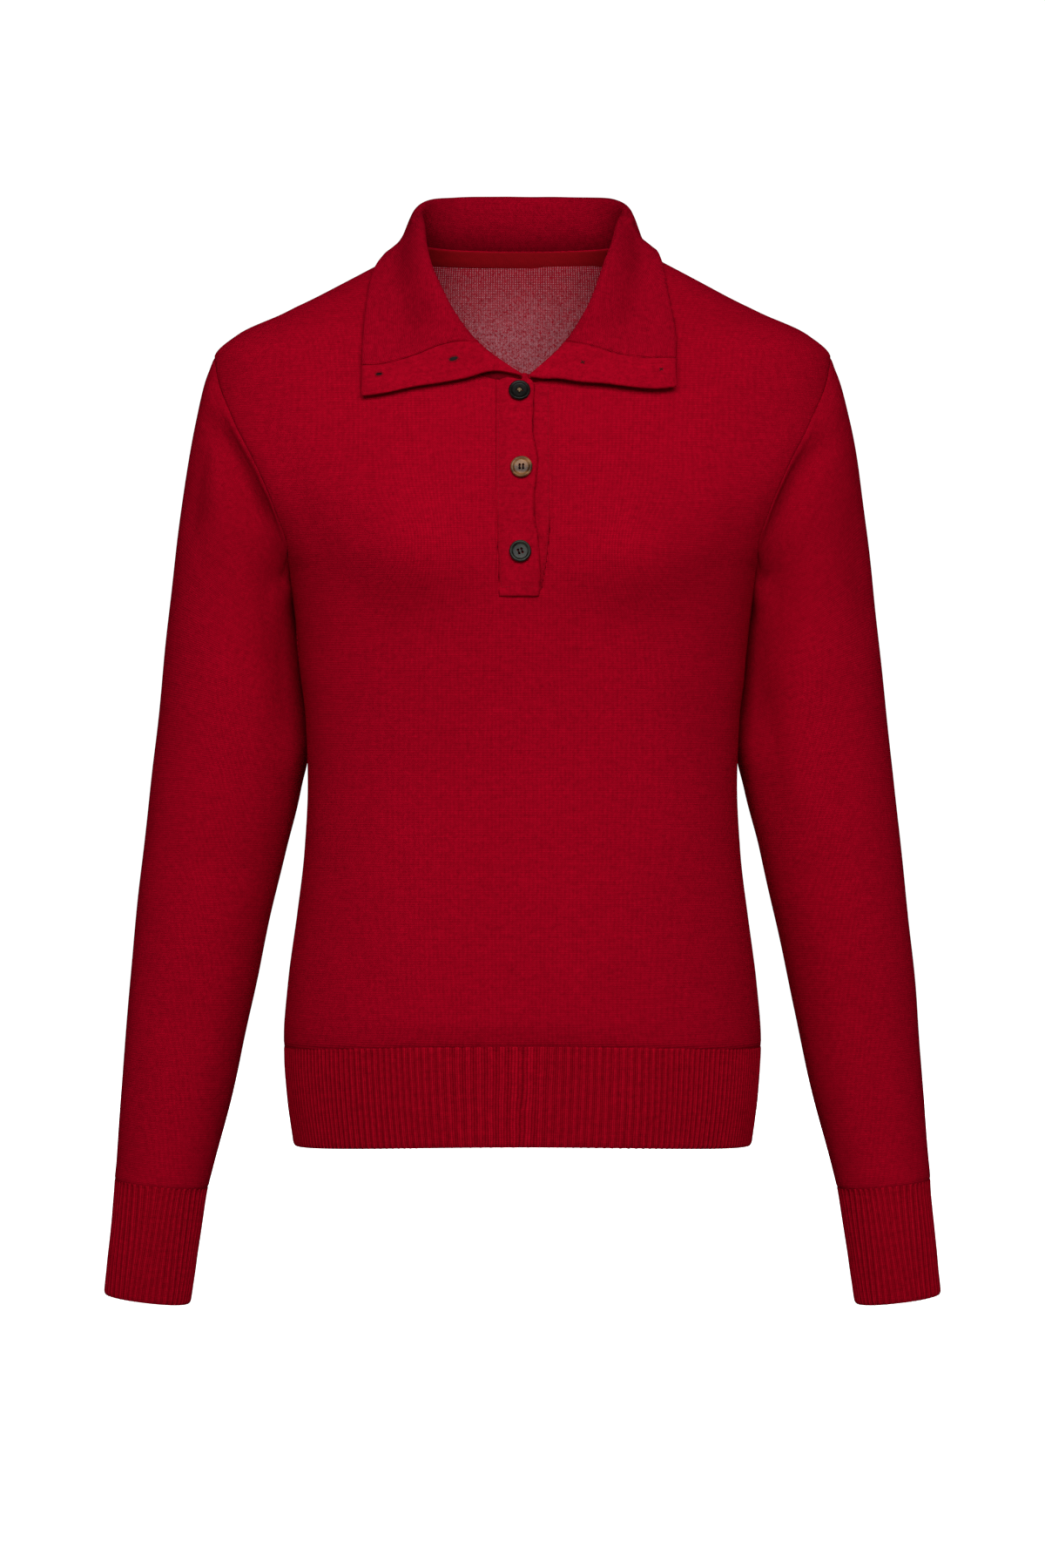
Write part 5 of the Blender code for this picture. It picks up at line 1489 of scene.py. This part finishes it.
def twill_material(name, colour):
    """Woven tape: fine slanting ribs."""
    s = Shader(name)
    where = s.knit_place()
    u, v, _ = s.split(where)
    ribs = (u * 900.0 + v * 900.0).wave()
    tone = ribs * 0.25 + s.noise(where, 300.0) * 0.4
    base = s.mix((tone + 0.2).clamped(), shade(colour, 0.5), shade(colour, 1.5))
    return s.finish(base, 0.8, ribs, strength=0.4, distance=0.0002, Specular_IOR_Level=0.05)


def thread_material(name, colour):
    s = Shader(name)
    where = s.object_place()
    inputs = {"Vector": where, "Scale": 900.0, "Distortion": 1.5, "Detail": 1.0}
    twist = s.node("ShaderNodeTexWave", inputs, output=1)
    tone = (twist * 0.4 + s.noise(where, 700.0) * 0.4).clamped()
    base = s.mix(tone, shade(colour, 0.6), shade(colour, 1.35))
    return s.finish(base, 0.5, twist, strength=0.4, distance=0.0001, Specular_IOR_Level=0.1)


def button_material(name, dark, light, streak, level, stretch=(1.0, 1.0, 1.0)):
    """Polished resin: streaks of two tones with a fine grain and a soft gloss."""
    s = Shader(name)
    where = s.object_place()
    scaled = s.node("ShaderNodeMapping", {"Vector": where, "Scale": stretch, "Rotation": (0.2, 0.3, 0.5)})
    bands = ((s.noise(scaled, streak, 4.0, 0.6) - 0.38) * 3.2).clamped()
    grain = s.noise(where, 1500.0, 3.0, 0.6)
    base = s.mix(bands, (*dark, 1.0), (*light, 1.0))
    base = s.mix(grain * 0.25, base, shade(dark, 0.4))
    constants = {"Coat Roughness": 0.2, "Specular IOR Level": level}
    return s.finish(base, grain * 0.18 + 0.24, grain, strength=0.08, distance=0.0001, **constants)


def stage_material():
    s = Shader("floor")
    base = s.mix(s.noise(s.object_place(), 3.0, 3.0), (0.86, 0.86, 0.86, 1.0), (0.9, 0.9, 0.9, 1.0))
    s.material.cycles.emission_sampling = "NONE"
    white = {"Emission Color": (1, 1, 1, 1), "Emission Strength": 1.0}
    return s.finish(base, 0.9, Specular_IOR_Level=0.0, **white)


RED = (0.300, 0.0012, 0.0108)
RIB_RED = (0.255, 0.0012, 0.0085)
COLLAR_RED = (0.275, 0.0012, 0.0106)
BAND_RED = (0.272, 0.0012, 0.0100)
INSIDE_RED = (0.16, 0.0016, 0.0070)
TAPE_RED = (0.19, 0.0012, 0.0040)

# Folds in the cloth, as seen from the front
FRONT_FOLDS = (
    (((-191, -88), (-182, -105), (-170, -124), (-158, -148), (-149, -170), (-143, -192)), 1.2, 8, 0.25),
    (((187, -100), (173, -118), (163, -136), (150, -163), (141, -192)), 1.0, 8, 0.25),
    (((-126, -198), (-135, -231), (-133, -276)), -1.4, 14, 0.3),
    (((134, -198), (137, -231), (134, -281)), -1.2, 14, 0.3),
    (((-160, -132), (-137, -176), (-117, -209), (-88, -231)), -1.1, 13, 0.35),
    (((160, -143), (137, -182), (114, -215), (88, -231)), -1.0, 13, 0.35),
)
# Soft hills and hollows: the bust, the fullness over the hem, and the shoulders' slope
SHOULDER_HILLS = ((-141, -37, -2.2, 36, 30), (141, -37, -2.2, 36, 30))
FRONT_HILLS = SHOULDER_HILLS + (
    (-68, -192, 12.0, 42, 31),
    (70, -195, 12.0, 42, 31),
    (-20, -508, 3.0, 90, 38),
    (60, -440, 1.5, 50, 60),
)
# The back: the shoulder blades, the hollow between them, and soft drapes under the arms and above the hem
BACK_HILLS = SHOULDER_HILLS + (
    (-74, -140, 4.5, 46, 58),
    (76, -142, 4.5, 46, 58),
    (0, -250, -3.0, 34, 100),
)
BACK_FOLDS = (
    (((-166, -128), (-148, -170), (-128, -212), (-104, -246)), -1.4, 14, 0.35),
    (((166, -124), (150, -168), (128, -214), (100, -252)), -1.4, 14, 0.35),
    (((-130, -300), (-86, -326), (-34, -336), (16, -330)), 1.1, 17, 0.35),
    (((126, -318), (84, -346), (34, -358), (-16, -356)), -1.2, 18, 0.35),
    (((-72, -372), (-80, -430), (-84, -496)), 1.4, 20, 0.35),
    (((58, -388), (66, -444), (70, -500)), 1.3, 22, 0.35),
)
SLEEVE_FRONT_FOLDS = {
    "right": (
        (((-211, -91), (-200, -111), (-190, -130), (-179, -154), (-169, -176), (-164, -196)), -8.0, 9.5, 0.3),
        (((-156, -222), (-153, -250), (-150, -280), (-148, -328)), -4.2, 12, 0.4),
        (((-210, -104), (-213, -134), (-217, -167), (-222, -196)), -4.0, 11, 0.3),
        (((-196, -140), (-195, -170), (-199, -207)), 1.6, 9, 0.3),
        (((-217, -387), (-191, -398), (-169, -387)), -1.4, 16, 0.3),
        (((-242, -483), (-217, -500), (-194, -494)), -1.2, 18, 0.3),
    ),
    "left": (
        (((205, -104), (193, -123), (182, -141), (169, -169), (160, -197)), -5.5, 9, 0.3),
        (((156, -222), (153, -250), (149, -290), (147, -328)), -3.6, 11, 0.4),
        (((157, -262), (159, -300), (163, -345), (170, -385)), -2.5, 9, 0.3),
        (((211, -151), (220, -207), (226, -263)), -2.4, 12, 0.3),
        (((187, -173), (184, -241), (187, -308)), 1.5, 12, 0.3),
        (((169, -393), (194, -404), (217, -393)), -1.4, 16, 0.3),
    ),
}
SLEEVE_BACK_FOLDS = {
    "right": (
        (((-168, -176), (-176, -214), (-182, -256)), -2.2, 12, 0.35),
        (((-168, -316), (-196, -330), (-226, -322)), -1.8, 13, 0.35),
        (((-178, -360), (-208, -368), (-238, -352)), 1.3, 13, 0.35),
    ),
    "left": (
        (((170, -172), (178, -214), (184, -252)), -2.0, 12, 0.35),
        (((166, -324), (194, -338), (226, -328)), -1.7, 13, 0.35),
        (((176, -372), (206, -380), (238, -362)), 1.3, 13, 0.35),
    ),
}


def place(piece, nodes):
    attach(piece, "root")
    if nodes:
        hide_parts(*nodes)
    return piece


def sewn_on(name, shapes, material):
    """Threads and sewing: pieces of the scene alone, which replace no solid."""
    return place(joined(name, shapes, [material]), ())


def build_cloth(knit, inside, sheer, rib, collar_knit, band, tape):
    front = make_panel("front_cloth", -1, [knit, inside], FRONT_FOLDS, FRONT_HILLS)
    back = make_panel("back_cloth", 1, [knit, sheer], BACK_FOLDS, BACK_HILLS)
    place(front, ["front"])
    place(back, ["back"])
    for facing, name in ((-1, "front"), (1, "back")):
        hem = make_hem("hem_rib_%s_cloth" % name, facing, [rib, rib])
        place(hem, ["hem_rib_" + name])
    for name, side in (("right", -1), ("left", 1)):
        arm_name, folds = "sleeve_%s_cloth" % name, (SLEEVE_FRONT_FOLDS[name], SLEEVE_BACK_FOLDS[name])
        arm = make_sleeve(arm_name, side, [knit, inside], folds)
        place(arm, ["sleeve_" + name])
        cuff = make_cuff("cuff_%s_cloth" % name, side, [rib, rib])
        place(cuff, ["cuff_" + name])
    collar = make_collar([collar_knit, inside], [band, inside])
    place(collar["collar_cloth"], ["collar"])
    for name in ("right", "left"):
        piece = collar["collar_band_%s_cloth" % name]
        place(piece, ["collar_band_" + name])
    over, under = make_placket([band, inside])
    place(over, ["placket_over"])
    place(under, ["placket_under"])
    place(make_tape([tape, tape]), ["neck_tape"])


def build_buttons(dark, green, horn, dark_thread, tan_thread):
    crossed, side_by_side = ((0, 2), (1, 3)), ((0, 3), (1, 2))
    looks = {
        "button_top": (dark, tan_thread, crossed),
        "button_middle": (horn, dark_thread, side_by_side),
        "button_bottom": (green, dark_thread, side_by_side),
    }
    for name, x, height, tip_up, tip_right, turn, slot in FRONT_BUTTONS:
        x, height = np.array(float(x)), np.array(float(height))
        surface = on_torso(x, height, -1, band_offset(x, height))
        centre, facing = button_place(surface, torso_normal(surface), tip_up, tip_right)
        material, thread, sewn = looks[name]
        button, shapes = make_button(name + "_turned", centre, facing, turn, [material], sewn)
        place(button, [name])
        sewn_on(name + "_thread", shapes, thread)
    for name, across, along in COLLAR_BUTTONS:
        here, beside, onward = (
            fall_points(np.array([LAST_STATION - across + a]), np.array([along + b]))[0]
            for a, b in ((0, 0), (0.2, 0), (0, 0.05))
        )
        normal = unit(np.cross(beside - here, onward - here))
        normal = normal if normal[1] > 0 else -normal
        centre = here + normal * (COLLAR_WALL + BUTTON_GAP + BUTTON_THICKNESS / 2)
        button, shapes = make_button(name + "_turned", centre, normal, 0, [dark], side_by_side)
        place(button, [name])
        sewn_on(name + "_thread", shapes, dark_thread)


# Where the collar's sewing is, as seen from the front. A buttonhole has a name, x, height, length and width
BUTTONHOLES = (("inner", -43.8, -71.4, 5.6, 2.5), ("outer", -91.5, -80.8, 4.0, 1.8))
CROSS_PLACES = ((38.2, -73.8), (88.2, -78.0))
CROSS_ARM = 1.7
CROSS_RADIUS = 0.3
PLACKET_STITCH_FOOT = -219
PLACKET_FOOT_STITCH_HEIGHT = -217.5


def build_sewing(red_thread, dark_thread, painted_slit_shade):
    # Two buttonholes on the wearer's right band, two thread crosses on the left one
    for name, x, z, length, width in BUTTONHOLES:
        point, down, normal = on_fall(x, z, 0.05, 0.95)
        slit, ring = buttonhole(point + normal * 0.05, down, normal, length, width)
        # The slit is a dark lens of painted shade
        sewn_on("buttonhole_%s_slit" % name, slit, painted_slit_shade)
        sewn_on("buttonhole_%s_thread" % name, ring, red_thread)
    shapes = []
    t = np.linspace(-1, 1, 7)
    for x, z in CROSS_PLACES:
        point, down, normal = on_fall(x, z, LAST_STATION - 0.95, LAST_STATION - 0.05)
        for turn in (38, -38):
            a = math.radians(turn)
            arm = t * CROSS_ARM
            path = stacked(math.cos(a) * arm, math.sin(a) * arm, 0.22 * (1 - abs(t)) + 0.06)
            shapes.append(laid(tube(path, CROSS_RADIUS, 6), point, surface_frame(down, normal)))
    sewn_on("button_stitches", shapes, dark_thread)
    # Fine stitches down both placket seams and across the band's foot
    shapes = []
    h = np.linspace(PLACKET_STITCH_FOOT, -90, 300)
    for side in (-1, 1):
        x = placket_seam_x(h, side) - side * STITCH_LINE
        shapes += stitches(on_torso(x, h, -1, (band_offset(x, h) if side < 0 else 0 * h) + 0.05))
    x = np.linspace(-15.0, float(over_band_edge(-216.0)) - 1.0, 60)
    shapes += stitches(on_torso(x, PLACKET_FOOT_STITCH_HEIGHT + 0 * x, -1, OVER_BAND_LIFT - 0.02))
    sewn_on("placket_stitches", shapes, red_thread)


def build():
    dark_thread = thread_material("thread_dark", (0.014, 0.004, 0.004))
    dark = button_material("button_dark_resin", (0.003, 0.0026, 0.0022), (0.009, 0.0078, 0.0065), 160.0, 0.12)
    green = button_material("button_green_resin", (0.005, 0.0058, 0.004), (0.024, 0.027, 0.019), 160.0, 0.15)
    horn = button_material(
        "button_horn_resin", (0.045, 0.016, 0.005), (0.30, 0.135, 0.05), 120.0, 0.16, stretch=(0.6, 1.0, 2.2)
    )
    build_cloth(
        knit=knit_material("knit_face", RED, contrast=1.6, heather=1.2),
        inside=knit_material("knit_inside", INSIDE_RED, purl=True, contrast=0.45),
        # The pale colour is painted light, seen through the back's loops
        sheer=sheer_material("knit_back_inside", (0.25, 0.003, 0.012), (0.54, 0.29, 0.33)),
        rib=knit_material("rib_knit", RIB_RED, course=1.15, strength=0.5, ribs=0.16),
        # The collar's stand gets painted shade towards its seam
        collar_knit=knit_material("collar_knit", COLLAR_RED, wale=1.45, course=1.1, contrast=1.6, low=0.65),
        band=knit_material("band_knit", BAND_RED, wale=1.1, course=0.9, strength=0.4),
        tape=twill_material("tape_twill", TAPE_RED),
    )
    build_buttons(dark, green, horn, dark_thread, thread_material("thread_tan", (0.20, 0.13, 0.07)))
    build_sewing(
        thread_material("thread_red", (0.26, 0.002, 0.011)),
        dark_thread,
        # Near black: painted shade in the buttonholes' slits
        thread_material("painted_shade_in_slit", (0.006, 0.0004, 0.0008)),
    )


# The stage's round wall, from its floor over its side to its top: radius and height in metres
STAGE_PROFILE = (
    (0.0, -0.71),
    (1.0, -0.71),
    (6.0, -0.71),
    (9.0, -0.6),
    (10.6, 0.4),
    (11.0, 2.0),
    (10.0, 6.0),
    (6.0, 9.5),
    (0.01, 11.0),
)
STAGE_SIDES = 96


def stage():
    floor = bpy.data.meshes.new("floor")
    turn = np.arange(STAGE_SIDES) * 2 * math.pi / STAGE_SIDES
    points = [(r * math.cos(a), r * math.sin(a), z) for r, z in STAGE_PROFILE for a in turn]
    index = np.arange(len(points)).reshape(-1, STAGE_SIDES)
    after = np.roll(index, -1, axis=1)
    faces = np.stack([index[:-1], after[:-1], after[1:], index[1:]], axis=-1).reshape(-1, 4).tolist()
    floor.from_pydata(points, [], faces)
    floor.shade_smooth()
    floor.materials.append(stage_material())
    obj = bpy.data.objects.new("floor", floor)
    bpy.context.scene.collection.objects.link(obj)
    # It is seen and lit, and adds no light of its own to the cloth
    obj.visible_shadow = obj.visible_diffuse = obj.visible_glossy = False


def light(name, where, width, height, power):
    data = bpy.data.lights.new(name, "AREA")
    data.shape, data.size, data.size_y, data.energy = "RECTANGLE", width, height, power
    obj = bpy.data.objects.new(name, data)
    obj.location = where
    obj.rotation_euler = (Vector(LIGHT_AIM) - Vector(where)).to_track_quat("-Z", "Y").to_euler()
    obj.visible_camera = False
    bpy.context.scene.collection.objects.link(obj)


# Metres and watts
LIGHT_AIM = (0, 0, -0.3)
LIGHTS = (
    ("key", (0.06, -1.7, 0.52), 1.4, 0.8, 36),
    ("fill_left", (-2.6, -1.7, -0.2), 1.2, 1.6, 9),
    ("fill_right", (2.6, -1.7, -0.2), 1.2, 1.6, 8),
    ("back", (0, 2.6, 0.6), 1.6, 1.0, 50),
)
WORLD_LIGHT = 0.085
CAMERA_DISTANCE = 3.0
CAMERA_HEIGHT = -0.342
VIEW_HEIGHT = 1.026
SENSOR = 36.0


def studio():
    scene = bpy.context.scene
    scene.view_settings.view_transform = "Standard"
    scene.view_settings.look = "None"
    world = bpy.data.worlds.new("studio")
    scene.world = world
    world.use_nodes = True
    background = world.node_tree.nodes["Background"]
    background.inputs[0].default_value = (1.0, 1.0, 1.0, 1.0)
    background.inputs[1].default_value = WORLD_LIGHT
    for row in LIGHTS:
        light(*row)
    camera = bpy.data.cameras.new("camera")
    camera.sensor_fit = "VERTICAL"
    camera.sensor_height = SENSOR
    camera.lens = SENSOR * CAMERA_DISTANCE / VIEW_HEIGHT
    eye = bpy.data.objects.new("camera", camera)
    eye.location = (0.0, -CAMERA_DISTANCE, CAMERA_HEIGHT)
    eye.rotation_euler = (math.pi / 2, 0, 0)
    scene.collection.objects.link(eye)
    scene.camera = eye


studio()
stage()
build()
